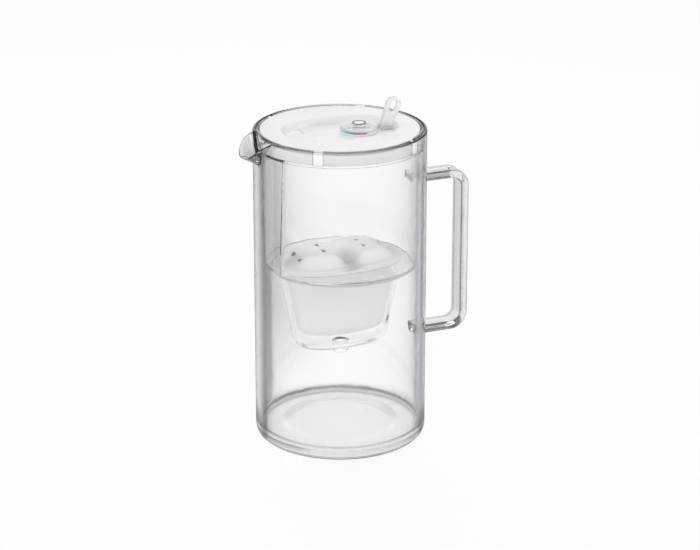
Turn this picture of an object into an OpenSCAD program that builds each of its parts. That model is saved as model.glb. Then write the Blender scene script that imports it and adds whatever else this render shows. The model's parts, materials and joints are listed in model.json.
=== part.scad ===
// Water filter pitcher with a flip lid: a clear jug, a hanging reservoir with an oval filter
// cartridge, and a lid whose oval flap carries the filter timer and a pull loop.
// Millimetres. The origin is the centre of the base, +Z is up, the spout points to -X
// and the handle to +X.

/* [Jug] */
// Outer diameter of the jug
jug_d = 130; // [124:1:150]
// Height of the rim above the table
jug_h = 243; // [235:1:270]
// Wall of the jug above the ledge that carries the reservoir
rim_wall = 2.6; // [2:0.1:3.2]
// Wall of the jug below that ledge
body_wall = 4; // [3.6:0.1:5]
// Depth of the ledge below the rim
ledge_drop = 12; // [11:0.5:14]
// Thickness of the floor at its edge
floor_t = 10; // [7:0.5:14]
// Radius of the rounding round the foot
foot_round = 8.5; // [4:0.5:12]
// Radius of the fillet between the inner wall and the floor
inner_fillet = 4; // [2:0.5:8]
// Diameter of the shallow dish in the floor
dish_d = 84; // [60:1:100]
// Depth of that dish
dish_depth = 2.5; // [1:0.5:4]

/* [Spout] */
// How far the tip of the lip stands out from the jug
spout_reach = 14; // [10:0.5:18]
// Width of the lip where it leaves the rim
spout_w = 38.8; // [30:0.2:44]
// How far the tip of the lip dips below the rim
spout_dip = 13.8; // [10:0.2:16]
// How far the root of the spout lies below the rim
spout_root = 22; // [19:0.5:26]
// Wall of the lip
spout_wall = 2.4; // [1.6:0.1:3]
// Distance of the lip's ends in from the jug's outer wall
spout_in = 8; // [7:0.5:10]

/* [Handle] */
// Distance from the jug to the outer face of the handle
handle_reach = 38.5; // [32:0.5:46]
// Height of the lower face of the lower bar
handle_low = 72; // [60:1:90]
// Height of the handle over both bars
handle_h = 129.5; // [110:0.5:140]
// Width of the bar, across the pitcher
bar_w = 16.5; // [12:0.5:20]
// Thickness of the bar
bar_t = 6.8; // [5:0.2:9]
// Radius of the bar's own edges
bar_edge = 1.8; // [1:0.1:2.4]
// Outer radius of the bend at each corner
bend_r = 14; // [11:0.5:18]

/* [Reservoir] */
// Wall of the reservoir
res_wall = 2.4; // [2:0.1:3]
// Height of the bottom of the reservoir above the table
res_bottom = 137; // [130:1:145]
// Narrowing of the reservoir's radius from its collar to its bottom
res_taper = 3; // [1:0.5:5]
// Clearance between the reservoir's wall and the jug's ledge
res_gap = 1; // [0.6:0.1:1.4]
// Depth of the flat panel that faces the spout, in from the round wall
panel_inset = 2.6; // [2:0.1:4]
// Width of the collar that stands on the ledge
collar_w = 2.3; // [2:0.1:2.6]

/* [Well] */
// Space between the well's end and the reservoir's flat panel, inside
well_margin = 4; // [3.6:0.1:7]
// Width of the oval well at its top, outside
well_w = 54; // [48:1:60]
// Depth of the well below the reservoir
well_depth = 63.5; // [58:0.5:66]
// Narrowing of the well's length from its top to its lower corner
well_taper = 10; // [4:0.5:14]
// Narrowing of the well's width, as a share of the narrowing of its length
side_taper = 0.4; // [0.2:0.05:0.6]
// Radius of the rounding at the well's bottom
well_round = 11; // [6:0.5:14]
// Outer diameter of the drain spigot
spigot_d = 12.2; // [10:0.2:16]
// Length of the drain spigot below the well
spigot_len = 7; // [4:0.5:9]
// Bore of the drain spigot
spigot_bore = 9; // [6:0.2:9.5]

/* [Filter cartridge] */
// Clearance between the cartridge and the well
cart_gap = 0.8; // [0.5:0.1:1.2]
// Wall of the cartridge
cart_wall = 1.6; // [1.2:0.1:2]
// Space under the cartridge in the well
drain_space = 9; // [6:0.5:12]
// Width of the cartridge's flange beyond the well's opening
flange_w = 3.6; // [3:0.1:4.5]
// Thickness of the cartridge's flange
flange_t = 1.2; // [1:0.1:1.6]
// Thickness of the sealing ring under the flange
cart_seal_t = 0.8; // [0.6:0.1:1.2]
// Height of the wavy cap's four lobes above its flange
lobe_h = 9; // [6:0.5:11]
// Height of the grip in the middle of the cap above the lobes
grip_h = 4.6; // [2:0.2:6]
// Half width of the grip, along the pitcher
grip_half_len = 11; // [8:0.5:13]
// Half width of the grip, across the pitcher
grip_half_w = 9; // [7:0.5:11]
// Half width of the finger scoops on the cap's long sides
side_scoop = 7.5; // [6:0.5:9]
// Half width of the scoops at the cap's two ends
end_scoop = 15; // [10:0.5:18]
// Thickness of the cap's skin
cap_skin = 1.6; // [1.2:0.1:2]
// Width of each inlet slot in the cap, along the pitcher
inlet_w = 3.2; // [2:0.2:4]
// Length of each inlet slot, across the pitcher
inlet_len = 5.4; // [4:0.2:7]
// Thickness of the mesh screens
screen_t = 0.6; // [0.4:0.1:0.8]
// Depth of the granulate bed's top below the flange
bed_drop = 4; // [3:0.5:8]
// Width of each drain slot in the cartridge's floor
drain_w = 2; // [1.2:0.2:2.6]
// Length of each drain slot
drain_len = 16; // [10:1:20]
// Distance between drain slots
drain_pitch = 5; // [4:0.5:6]

/* [Lid] */
// Thickness of the lid's top
lid_t = 2.4; // [2:0.1:2.8]
// Depth of the skirt below the rim
skirt_drop = 10.4; // [9.5:0.1:10.8]
// Thickness of the skirt
skirt_t = 2; // [1.6:0.1:2.2]
// Width of each of the four lugs that key the lid to the collar
lug_w = 7; // [5:0.2:10]
// Depth of the lugs' top below the rim
lug_drop = 2.4; // [2:0.1:4]
// Angle of the lugs from the spout and handle line
lug_angle = 52.5; // [40:0.5:60]
// Depth of the oval recess in the lid
recess_drop = 4.4; // [3.6:0.1:5]
// Width of the flat land between the recess and the lid's edge, at both ends
land_w = 14.7; // [13:0.1:17]
// Width of the flap
flap_w = 53; // [48:1:56]
// Slope of the recess wall, outward over its height
recess_slope = 3.4; // [2:0.1:4]
// Thickness of the ledge that the flap's seal lies on
seat_t = 1.8; // [1.4:0.1:2.2]
// Width of that ledge under the flap
seat_w = 3.6; // [3:0.1:4.4]

/* [Flap] */
// Thickness of the flap
flap_t = 2.2; // [1.8:0.1:2.4]
// Thickness of the flap's seal
flap_seal_t = 0.8; // [0.6:0.1:1]
// Width of the flap's seal
flap_seal_w = 2.2; // [1.6:0.1:2.6]
// Distance of the hinge axis in from the flap's spout end
hinge_inset = 6; // [5:0.5:7]
// Diameter of the hinge pin
pin_d = 2.4; // [2:0.1:2.6]
// Outer diameter of the hinge barrels
barrel_d = 4.8; // [4.6:0.1:5.4]
// Length of the flap's own barrel
barrel_w = 12; // [8:0.5:14]
// Thickness of each ear of the lid beside the barrel
ear_w = 3.4; // [2.4:0.1:4]
// Width of the flap's tongue, which turns between the lid's fixed corners
tongue_w = 21; // [20.6:0.1:24]
// Distance from the hinge axis to the flap's shoulders
tongue_len = 11; // [11:0.5:14]

/* [Pull loop] */
// Height of the loop above the flap
loop_h = 23; // [18:0.5:28]
// Width of the loop near its top
loop_w = 11.6; // [10:0.2:14]
// Width of the loop at its foot
loop_foot = 7.6; // [6:0.2:8]
// Thickness of the loop
loop_t = 3.6; // [3:0.1:5]
// Width of the slot in the loop
slot_w = 5; // [4:0.1:5.6]
// Length of the slot in the loop
slot_len = 10; // [8:0.5:12]
// Lean of the loop towards the handle, in degrees
loop_lean = 22; // [10:1:24]
// Distance of the loop's foot in from the flap's handle end
loop_inset = 5; // [5:0.5:8]
// Length of the block at the loop's foot
foot_len = 8; // [7:0.5:9]
// Width of that block, across the pitcher
foot_w = 12; // [8:0.5:14]
// Height of that block
foot_h = 2; // [1.6:0.1:3]
// Diameter of the peg that holds the loop in the flap
peg_d = 4; // [3:0.2:4.4]

/* [Filter timer] */
// Outer diameter of the clear lens
lens_d = 28.4; // [27:0.2:32]
// Thickness of the clear lens
lens_t = 3; // [2.6:0.1:4]
// Distance between the timer's centre and the pull loop's foot
timer_gap = 20.5; // [20:0.5:24]
// Turn of the timer's face about the vertical, in degrees
timer_turn = 23; // [-45:1:45]
// Thickness of the coloured ring under the lens
colour_t = 1; // [0.6:0.1:1.4]
// Width of the coloured ring
colour_w = 2.4; // [1.6:0.1:2.8]
// Thickness of the timer housing's flange
housing_t = 1; // [0.8:0.1:1.4]
// Thickness of the gasket under that flange
gasket_t = 0.4; // [0.3:0.1:0.6]
// Diameter of the button cell
cell_d = 20; // [16:1:20]
// Thickness of the button cell
cell_t = 3.2; // [1.6:0.1:3.2]
// Wall of the timer's housing
housing_wall = 1.2; // [1:0.1:1.4]
// Thickness of the circuit board
board_t = 1; // [0.8:0.1:1.6]
// Height of the battery contact between cell and board
contact_h = 1.6; // [1.4:0.1:2.4]
// Thickness of the battery cover's flange
cover_t = 1.2; // [1:0.1:2]
// Diameter of the reset button
button_d = 8.2; // [7:0.2:9]
// Distance of the button from the centre of the timer
button_offset = 5; // [4:0.2:5.4]
// Travel of the button
button_travel = 0.6; // [0.3:0.1:0.7]
// Width of the dark bezel round the button
bezel_w = 1; // [0.9:0.1:1.4]
// Height of the snap dome under the button
dome_h = 0.9; // [0.6:0.1:1.2]
// Diameter of the snap dome
dome_d = 6; // [5:0.2:7]
// Distance between the three lights
light_pitch = 5; // [4:0.2:6]

/* [Hidden] */
$fn = 96;

// Clearances that the fits share, and the overrun of each cut
face_gap = 0.3;
flap_gap = 0.4;
swing_gap = 0.9;
push_gap = 0.1;
pin_gap = 0.05;
button_gap = 0.08;
cut = 1;

jug_r = jug_d / 2;
rim_in_r = jug_r - rim_wall;
jug_in_r = jug_r - body_wall;
ledge_z = jug_h - ledge_drop;
dish_round = 0.96 * dish_depth;
far = 2 * jug_d;

handle_x = jug_r + handle_reach;
handle_top = handle_low + handle_h;

// The collar stands on the ledge inside the rim
collar_r = rim_in_r - face_gap;
collar_in_r = collar_r - collar_w;
res_top_r = jug_in_r - res_gap;
res_low_r = res_top_r - res_taper;
res_floor = res_bottom + res_wall;
panel_x = res_low_r - panel_inset;

// The well hangs under the reservoir
well_a = panel_x - res_wall - well_margin;
well_b = well_w / 2;
well_z = res_bottom - well_depth;
oval_power = 2.4;
cart_a = well_a - res_wall - cart_gap;
cart_b = well_b - res_wall - cart_gap;
cart_low = well_z + res_wall + drain_space;
shell_z = res_floor + cart_seal_t;
cap_z = shell_z + flange_t;
flange_a = well_a - res_wall + flange_w;
flange_b = well_b - res_wall + flange_w;
bed_low = cart_low + cart_wall + screen_t;
bed_top = shell_z - bed_drop;
seal_inset = 0.4;
outlet_inset = 3;

// The lid stands on the step inside the collar
skirt_r = collar_in_r - face_gap;
skirt_z = jug_h - skirt_drop;
flap_a = skirt_r - land_w - recess_slope - flap_gap;
flap_b = flap_w / 2;
flap_top = jug_h - recess_drop;
flap_z = flap_top - flap_t;
seat_top = flap_z - flap_seal_t;
hinge_x = -flap_a + hinge_inset;
hinge_z = flap_z - face_gap - barrel_d / 2;
swing_r = sqrt(pow(hinge_inset, 2) + pow(flap_top - hinge_z, 2)) + face_gap;
shoulder_x = hinge_x + tongue_len;
pocket_x = shoulder_x - swing_gap - 1.1;
pocket_w = tongue_w + 2 * flap_gap;
stand_x = hinge_x - (flap_top - hinge_z) - 1.5;
flap_seal_inset = 0.6;

loop_x = flap_a - loop_inset;
peg_x = loop_x - 2.6;
peg_r = peg_d / 2;
peg_head_r = peg_r + 0.8;
peg_head_t = 1.8;
timer_x = loop_x - timer_gap;

housing_z = flap_top + gasket_t;
colour_z = housing_z + housing_t;
lens_z = colour_z + colour_t;
lens_top = lens_z + lens_t;
housing_r = lens_d / 2 - 2 * push_gap;
cell_room = 0.8;
tube_in_r = cell_d / 2 + cell_room;
tube_r = tube_in_r + housing_wall;
board_r = tube_in_r - 2 * push_gap;
board_z = flap_top - dome_h - board_t;
cell_z = board_z - contact_h - cell_t;
cover_plug = 0.6;
cover_z = cell_z - cover_plug - cover_t;
button_r = button_d / 2;
bezel_in_r = button_r + button_gap;
bezel_r = bezel_in_r + bezel_w;
bezel_proud = 0.2;
stem_r = 1.5;
button_lip = 0.5;
lip_t = 0.8;
lip_z = colour_z + button_travel + 0.2;
light = [1.6, 0.8, 0.5];
light_y = -5;
contact = [6, 4, 0.3];
coin_slot = [10, 1.8, 0.7];

clear_plastic = [0.86, 0.91, 0.94, 0.4];
white_plastic = [0.95, 0.95, 0.96];
screen_grey = [0.72, 0.75, 0.78];

// A point of an oval with half axes a and b; a power above 2 makes it fuller than an ellipse.
function oval_point(a, b, t) = [
    a * sign(cos(t)) * pow(abs(cos(t)), 2 / oval_power),
    b * sign(sin(t)) * pow(abs(sin(t)), 2 / oval_power)
];

function oval_points(a, b, n = 56) = [for (i = [0:n - 1]) oval_point(a, b, 360 * i / n)];

// Faces of a closed stack of rings with n points each.
function stack_faces(rings, n) = concat(
    [[for (i = [0:n - 1]) i]],
    [for (k = [0:rings - 2]) for (i = [0:n - 1])
        [k * n + i, (k + 1) * n + i, (k + 1) * n + (i + 1) % n]],
    [for (k = [0:rings - 2]) for (i = [0:n - 1])
        [k * n + i, (k + 1) * n + (i + 1) % n, k * n + (i + 1) % n]],
    [[for (i = [n - 1:-1:0]) (rings - 1) * n + i]]
);

// A solid through oval sections, each given as [height, half length, half width].
module oval_stack(sections, n = 56) {
    polyhedron(
        points = [for (s = sections) for (p = oval_points(s[1], s[2], n)) [p[0], p[1], s[0]]],
        faces = stack_faces(len(sections), n),
        convexity = 6
    );
}

// An oval cup: a rounded bottom, then sides that widen up to the top section.
function cup_sections(a, b, low, high, taper, round, steps = 5) = concat(
    [for (k = [0:steps]) let (t = 90 * k / steps) [
        low + round * (1 - cos(t)),
        a - taper - round * (1 - sin(t)),
        b - taper * side_taper - round * (1 - sin(t))
    ]],
    [[high, a, b]]
);

module oval_plate(a, b, z, t) {
    oval_stack([[z, a, b], [z + t, a, b]]);
}

module oval_ring(a, b, w, z, t) {
    difference() {
        oval_plate(a, b, z, t);
        oval_plate(a - w, b - w, z - cut, t + 2 * cut);
    }
}

// Half section of a round cup's hollow or body, from the axis, with one rounded lower corner.
module round_corner_section(r, low, high, round) {
    intersection() {
        union() {
            translate([0, low + round]) square([r, high - low - round]);
            translate([0, low]) square([r - round, high - low]);
            translate([r - round, low + round]) circle(round);
        }
        translate([0, low]) square([r, high - low]);
    }
}

// Jug

spout_back = jug_r - spout_in;
spout_tip = jug_r + spout_reach;
lip_steps = 24;
lip_fullness = 0.55;
lip_sag = 1.33;

// The lip of the spout runs from one side of the rim over the tip to the other side.
function lip_point(t, inset, lift) = [
    -(spout_back + (spout_tip - inset - spout_back) * pow(cos(t), lip_fullness)),
    (spout_w / 2 - inset) * sin(t),
    jug_h + lift - spout_dip * pow(cos(t), lip_sag)
];

function lip_loop(inset, lift) =
    [for (i = [0:lip_steps]) lip_point(-90 + 180 * i / lip_steps, inset, lift)];

// Triangles that span a lip's two sides, starting at vertex s.
function span_faces(s) = [
    for (i = [0:lip_steps / 2 - 1]) let (j = lip_steps - i)
        each (i == lip_steps / 2 - 1)
            ? [[s + i, s + i + 1, s + j]]
            : [[s + i, s + i + 1, s + j], [s + i + 1, s + j - 1, s + j]]
];

// The outside of the spout: a fan from its root on the wall to the lip.
module spout_outside() {
    root = [-(jug_r - 1), 0, jug_h - spout_root];
    polyhedron(
        points = concat([root], lip_loop(0, 0)),
        faces = concat(
            [for (i = [1:lip_steps]) [0, i + 1, i]],
            [[0, 1, lip_steps + 1]],
            span_faces(1)
        ),
        convexity = 4
    );
}

// The trough inside the spout, open upward and into the jug.
module spout_trough() {
    n = lip_steps + 1;
    root = [-spout_back, 0, jug_h - spout_root + spout_wall / 4];
    polyhedron(
        points = concat([root], lip_loop(spout_wall, 0), lip_loop(spout_wall, spout_root)),
        faces = concat(
            [for (i = [1:lip_steps]) [0, i + 1, i]],
            [for (i = [1:lip_steps]) [i, i + 1, n + i]],
            [for (i = [1:lip_steps]) [i + 1, n + i + 1, n + i]],
            [[0, 1, n + 1, 2 * n, n]],
            span_faces(n + 1)
        ),
        convexity = 4
    );
}

module jug_body() {
    color(clear_plastic)
    difference() {
        union() {
            rotate_extrude($fn = 180) {
                round_corner_section(jug_r, 0, jug_h - rim_wall / 2, foot_round);
                translate([jug_r - rim_wall / 2, jug_h - rim_wall / 2]) circle(rim_wall / 2, $fn = 32);
            }
            spout_outside();
        }
        rotate_extrude($fn = 180)
            round_corner_section(jug_in_r, floor_t, jug_h + cut, inner_fillet);
        rotate_extrude($fn = 180)
            round_corner_section(dish_d / 2, floor_t - dish_depth, floor_t + cut, dish_round);
        translate([0, 0, ledge_z]) cylinder(r = rim_in_r, h = ledge_drop + cut, $fn = 180);
        spout_trough();
    }
}

// Handle

module bar_section() {
    for (x = [bar_edge, bar_t - bar_edge])
        for (y = [bar_edge - bar_w / 2, bar_w / 2 - bar_edge])
            translate([x, y]) circle(bar_edge, $fn = 32);
    translate([bar_edge, -bar_w / 2]) square([bar_t - 2 * bar_edge, bar_w]);
    translate([0, bar_edge - bar_w / 2]) square([bar_t, bar_w - 2 * bar_edge]);
}

// A quarter bend of the bar, from +X upward round to +Z.
module bar_bend() {
    rotate([90, 0, 0])
        rotate_extrude(angle = 90, $fn = 96)
            translate([bend_r - bar_t, 0]) bar_section();
}

module handle() {
    reach = handle_x - bend_r;
    color(clear_plastic)
    difference() {
        union() {
            translate([handle_x - bar_t, 0, handle_low + bend_r])
                linear_extrude(handle_h - 2 * bend_r) bar_section();
            translate([reach, 0, handle_top - bend_r]) bar_bend();
            translate([reach, 0, handle_low + bend_r]) mirror([0, 0, 1]) bar_bend();
            for (z = [handle_low, handle_top - bar_t])
                translate([reach, 0, z]) rotate([0, -90, 0])
                    linear_extrude(reach - jug_r + body_wall) bar_section();
        }
        cylinder(r = jug_r, h = jug_h, $fn = 180);
    }
}

// Reservoir

module reservoir_hollow() {
    difference() {
        translate([0, 0, res_floor])
            cylinder(r1 = res_low_r - res_wall, r2 = res_top_r - res_wall, h = skirt_z - res_floor);
        translate([-far, -far / 2, 0]) cube([far - panel_x + res_wall, far, skirt_z]);
    }
    translate([0, 0, skirt_z - 0.01])
        cylinder(r = collar_in_r, h = skirt_drop + cut);
}

module reservoir() {
    color(clear_plastic)
    difference() {
        union() {
            difference() {
                translate([0, 0, res_bottom])
                    cylinder(r1 = res_low_r, r2 = res_top_r, h = ledge_z - res_bottom);
                translate([-far, -far / 2, 0]) cube([far - panel_x, far, ledge_z]);
            }
            translate([0, 0, ledge_z]) cylinder(r = collar_r, h = ledge_drop);
            oval_stack(cup_sections(
                well_a, well_b, well_z, res_bottom + res_wall / 2, well_taper, well_round
            ));
            translate([0, 0, well_z - spigot_len])
                cylinder(d = spigot_d, h = spigot_len + res_wall);
        }
        reservoir_hollow();
        oval_stack(cup_sections(
            well_a - res_wall, well_b - res_wall, well_z + res_wall, res_floor + cut,
            well_taper, well_round - res_wall
        ));
        translate([0, 0, well_z - spigot_len - cut])
            cylinder(d = spigot_bore, h = spigot_len + res_wall + 2 * cut);
        for (a = [lug_angle, 180 - lug_angle, 180 + lug_angle, -lug_angle])
            rotate([0, 0, a])
                translate([collar_in_r - cut, -lug_w / 2 - face_gap, skirt_z - face_gap])
                    cube([collar_w + 2 * cut, lug_w + 2 * face_gap, skirt_drop + cut + face_gap]);
    }
}

// Filter cartridge

cap_rings = 15;
cap_sides = 72;
edge_share = 0.24;
end_dip = 0.85;

function bump(x, w) = exp(-pow(x / w, 2));
function ease(t) = let (u = min(max(t, 0), 1)) u * u * (3 - 2 * u);

// Height of the cap's skin over its flange at (x, y), with s from 0 in the middle to 1 at the edge.
function cap_wave(x, y, s) =
    ease((1 - s) / edge_share) * (
        lobe_h + grip_h * bump(x, grip_half_len) * bump(y, grip_half_w)
        - lobe_h * bump(x, side_scoop) * ease((abs(y) - grip_half_w / 2) / grip_half_len)
        - lobe_h * end_dip * bump(abs(x) - cart_a, end_scoop) * bump(y, grip_half_len)
    );

function cap_ring(s, drop) = [
    for (i = [0:cap_sides - 1])
        let (p = oval_point(cart_a * s, cart_b * s, 360 * i / cap_sides))
            [p[0], p[1], cap_z + max(0, flange_t - drop + cap_wave(p[0], p[1], s))]
];

// The cap's skin is a stack of rings, out over the top and back underneath.
module cap_skin_solid() {
    rings = concat(
        [for (k = [0:cap_rings - 1]) cap_ring(0.02 + 0.98 * k / (cap_rings - 1), cap_skin)],
        [for (k = [0:cap_rings - 1]) cap_ring(1 - 0.98 * k / (cap_rings - 1), 0)]
    );
    polyhedron(
        points = [for (r = rings) each r],
        faces = stack_faces(len(rings), cap_sides),
        convexity = 8
    );
}

module cartridge_cap() {
    color(white_plastic)
    difference() {
        union() {
            cap_skin_solid();
            oval_ring(flange_a, flange_b, flange_a - cart_a + 1, cap_z, flange_t);
        }
        for (x = [-0.78, -0.36, 0.36, 0.78] * cart_a) for (y = [-0.28, 0.28] * cart_b)
            translate([x - inlet_w / 2, y - inlet_len / 2, cap_z])
                cube([inlet_w, inlet_len, lobe_h + grip_h + 2 * cut]);
    }
}

module cartridge_shell() {
    color(white_plastic)
    difference() {
        union() {
            oval_stack(cup_sections(
                cart_a, cart_b, cart_low, shell_z + flange_t, well_taper, well_round - res_wall
            ));
            oval_plate(flange_a, flange_b, shell_z, flange_t);
        }
        oval_stack(cup_sections(
            cart_a - cart_wall, cart_b - cart_wall, cart_low + cart_wall, shell_z + flange_t + cut,
            well_taper, well_round - res_wall - cart_wall
        ));
        for (k = [-4:4]) translate([k * drain_pitch - drain_w / 2, -drain_len / 2, cart_low - cut])
            cube([drain_w, drain_len, cart_wall + 2 * cut]);
    }
}

module cartridge_seal() {
    color([0.9, 0.92, 0.93])
        oval_ring(
            flange_a - seal_inset, flange_b - seal_inset, flange_w - cart_gap, res_floor, cart_seal_t
        );
}

// Sections of the space inside the cartridge, a little clear of its wall.
function bed_sections(low, high) = let (
    gap = cart_wall + face_gap,
    round = well_round - res_wall - cart_wall
) concat(
    [for (k = [0:4]) let (
        t = acos(1 - (low - cart_low - cart_wall) / round) * (1 - k / 4) + 90 * k / 4
    ) [
        cart_low + cart_wall + round * (1 - cos(t)),
        cart_a - gap - well_taper - round * (1 - sin(t)),
        cart_b - gap - well_taper * side_taper - round * (1 - sin(t))
    ]],
    [let (
        start = cart_low + cart_wall + round,
        left = well_taper * (1 - (high - start) / (cap_z - start))
    ) [high, cart_a - gap - left, cart_b - gap - left * side_taper]]
);

module filter_granulate() {
    color([0.62, 0.52, 0.38]) oval_stack(bed_sections(bed_low, bed_top));
}

module inlet_screen() {
    edge = bed_sections(bed_low, bed_top)[5];
    color(screen_grey) oval_plate(edge[1], edge[2], bed_top, screen_t);
}

module outlet_screen() {
    edge = bed_sections(bed_low, bed_top)[0];
    color(screen_grey)
        oval_plate(edge[1] - outlet_inset, edge[2] - outlet_inset, cart_low + cart_wall, screen_t);
}

// Lid

module lid_recess() {
    oval_stack([
        [flap_top - 0.01, flap_a + flap_gap, flap_b + flap_gap],
        [jug_h, flap_a + flap_gap + recess_slope, flap_b + flap_gap + recess_slope],
        [jug_h + cut, flap_a + flap_gap + recess_slope, flap_b + flap_gap + recess_slope]
    ]);
}

module lid_collar() {
    oval_stack([
        [seat_top - seat_t, flap_a + skirt_t, flap_b + skirt_t],
        [flap_top, flap_a + skirt_t, flap_b + skirt_t],
        [jug_h - lid_t, flap_a + skirt_t + recess_slope, flap_b + skirt_t + recess_slope],
        [jug_h - cut, flap_a + skirt_t + recess_slope, flap_b + skirt_t + recess_slope]
    ]);
}

// One ear beside the flap's barrel, on the side given by s, 1 or -1.
module hinge_ear(s) {
    y = s > 0 ? barrel_w / 2 + face_gap : -barrel_w / 2 - face_gap - ear_w;
    translate([hinge_x, y, hinge_z]) rotate([-90, 0, 0]) cylinder(d = barrel_d, h = ear_w);
    translate([hinge_x, y, hinge_z - barrel_d / 2])
        cube([shoulder_x - hinge_x, ear_w, barrel_d / 2 + seat_top - hinge_z]);
}

// The two corners beside the tongue, inward to x and outside the width w.
module beside_tongue(x, w) {
    for (y = [w / 2, -far - w / 2]) translate([-far, y, 0]) cube([far + x, far, jug_h]);
}

// Room for the flap at its own level, with the fixed corners left standing.
module flap_room() {
    difference() {
        oval_plate(flap_a + flap_gap, flap_b + flap_gap, seat_top, flap_top - seat_top);
        beside_tongue(shoulder_x - swing_gap, pocket_w);
    }
}

// Room for the tongue as it swings down behind the hinge and stands up.
module hinge_pocket() {
    intersection() {
        translate([hinge_x, 0, hinge_z]) rotate([-90, 0, 0])
            cylinder(r = swing_r, h = pocket_w, center = true);
        translate([-far, -far / 2, 0]) cube([far, far, flap_top]);
    }
    translate([hinge_x, -pocket_w / 2, seat_top - seat_t - cut])
        cube([pocket_x - hinge_x, pocket_w, seat_t + 2 * cut]);
    translate([stand_x, -pocket_w / 2, flap_top - 0.01])
        cube([pocket_x - stand_x, pocket_w, recess_drop + cut]);
}

module lid_shell() {
    color(white_plastic)
    difference() {
        union() {
            difference() {
                translate([0, 0, skirt_z]) cylinder(r = skirt_r, h = skirt_drop, $fn = 180);
                translate([0, 0, skirt_z - cut])
                    cylinder(r = skirt_r - skirt_t, h = skirt_drop - lid_t + cut, $fn = 180);
            }
            lid_collar();
            for (a = [lug_angle, 180 - lug_angle, 180 + lug_angle, -lug_angle])
                rotate([0, 0, a])
                    translate([skirt_r - cut, -lug_w / 2, skirt_z])
                        cube([collar_w + cut, lug_w, skirt_drop - lug_drop]);
        }
        lid_recess();
        flap_room();
        hinge_pocket();
        intersection() {
            oval_plate(flap_a - seat_w, flap_b - seat_w, seat_top - seat_t - cut, seat_t + 2 * cut);
            translate([shoulder_x + seat_w, -far / 2, 0]) cube([far, far, jug_h]);
        }
    }
    color(white_plastic)
    difference() {
        for (s = [-1, 1]) hinge_ear(s);
        translate([hinge_x, 0, hinge_z]) rotate([-90, 0, 0])
            cylinder(d = pin_d, h = flap_w, center = true, $fn = 48);
    }
}

module hinge_pin() {
    color([0.8, 0.81, 0.83])
        translate([hinge_x, 0, hinge_z]) rotate([-90, 0, 0])
            cylinder(d = pin_d, h = barrel_w + 2 * (ear_w + face_gap), center = true, $fn = 48);
}

// Flap

module at_timer(z = 0) {
    translate([timer_x, 0, z]) rotate([0, 0, -timer_turn]) children();
}

module at_button(z = 0) {
    at_timer(z) translate([0, button_offset, 0]) children();
}

module flap_panel() {
    color(white_plastic)
    difference() {
        union() {
            difference() {
                oval_plate(flap_a, flap_b, flap_z, flap_t);
                beside_tongue(shoulder_x, tongue_w);
            }
            translate([hinge_x, 0, hinge_z]) rotate([-90, 0, 0])
                cylinder(d = barrel_d, h = barrel_w, center = true);
            translate([hinge_x - barrel_d / 2, -barrel_w / 2, hinge_z])
                cube([barrel_d, barrel_w, flap_z + cut - hinge_z]);
        }
        translate([hinge_x, 0, hinge_z]) rotate([-90, 0, 0])
            cylinder(d = pin_d + 2 * pin_gap, h = flap_w, center = true, $fn = 48);
        at_timer(flap_z - cut) cylinder(r = tube_r + push_gap, h = flap_t + 2 * cut);
        translate([peg_x, 0, flap_z - cut])
            cylinder(r = peg_r + push_gap, h = flap_t + 2 * cut, $fn = 48);
    }
}

// The part of an oval plate on the loop's side of a line across the flap at x.
module seal_plate(inset, x, z, t) {
    intersection() {
        oval_plate(flap_a - inset, flap_b - inset, z, t);
        translate([x, -far / 2, z - cut]) cube([far, far, t + 2 * cut]);
    }
}

module flap_seal() {
    color([0.9, 0.92, 0.93])
    difference() {
        seal_plate(flap_seal_inset, shoulder_x + flap_seal_inset, seat_top, flap_seal_t);
        seal_plate(
            flap_seal_inset + flap_seal_w, shoulder_x + flap_seal_inset + flap_seal_w, seat_top - cut,
            flap_seal_t + 2 * cut
        );
    }
}

// Outline of the loop, with the foot at the origin.
module loop_outline() {
    top = loop_h / cos(loop_lean) - loop_w / 2;
    difference() {
        hull() {
            translate([-loop_foot / 2, 0]) square([loop_foot, 0.1]);
            translate([0, top]) circle(d = loop_w, $fn = 40);
        }
        hull() {
            for (y = [0, slot_w - slot_len])
                translate([0, top + (loop_w - slot_w) / 4 + y]) circle(d = slot_w, $fn = 32);
        }
    }
}

module pull_loop() {
    color([0.93, 0.95, 0.97, 0.8]) {
        intersection() {
            translate([loop_x, loop_t / 2, flap_top]) rotate([90, loop_lean, 0])
                linear_extrude(loop_t) loop_outline();
            translate([0, -far / 2, flap_top]) cube([far, far, far]);
        }
        translate([loop_x - foot_len / 2, -foot_w / 2, flap_top]) cube([foot_len, foot_w, foot_h]);
        translate([peg_x, 0, flap_z - peg_head_t])
            cylinder(r = peg_r, h = peg_head_t + flap_t + cut, $fn = 48);
        translate([peg_x, 0, flap_z - peg_head_t]) cylinder(r = peg_head_r, h = peg_head_t, $fn = 48);
    }
}

// Filter timer

module timer_housing() {
    color(white_plastic)
    difference() {
        union() {
            at_timer(housing_z) cylinder(r = housing_r, h = housing_t);
            at_timer(cell_z - cover_plug) cylinder(r = tube_r, h = housing_z - cell_z + cover_plug);
        }
        at_timer(cell_z - cover_plug - cut)
            cylinder(r = tube_in_r, h = board_z + board_t - cell_z + cover_plug + cut);
        at_timer(board_z) cylinder(r = tube_in_r - housing_wall, h = housing_z - board_z);
        at_button(board_z) cylinder(r = stem_r + face_gap, h = far, $fn = 48);
        for (k = [-1:1]) at_timer(board_z)
            translate([k * light_pitch, light_y, 0]) cylinder(d = light[0], h = far, $fn = 24);
    }
}

module timer_gasket() {
    color([0.9, 0.92, 0.93])
    difference() {
        at_timer(flap_top) cylinder(r = housing_r - face_gap, h = gasket_t);
        at_timer(flap_top - cut) cylinder(r = tube_r + push_gap, h = gasket_t + 2 * cut);
    }
}

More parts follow.
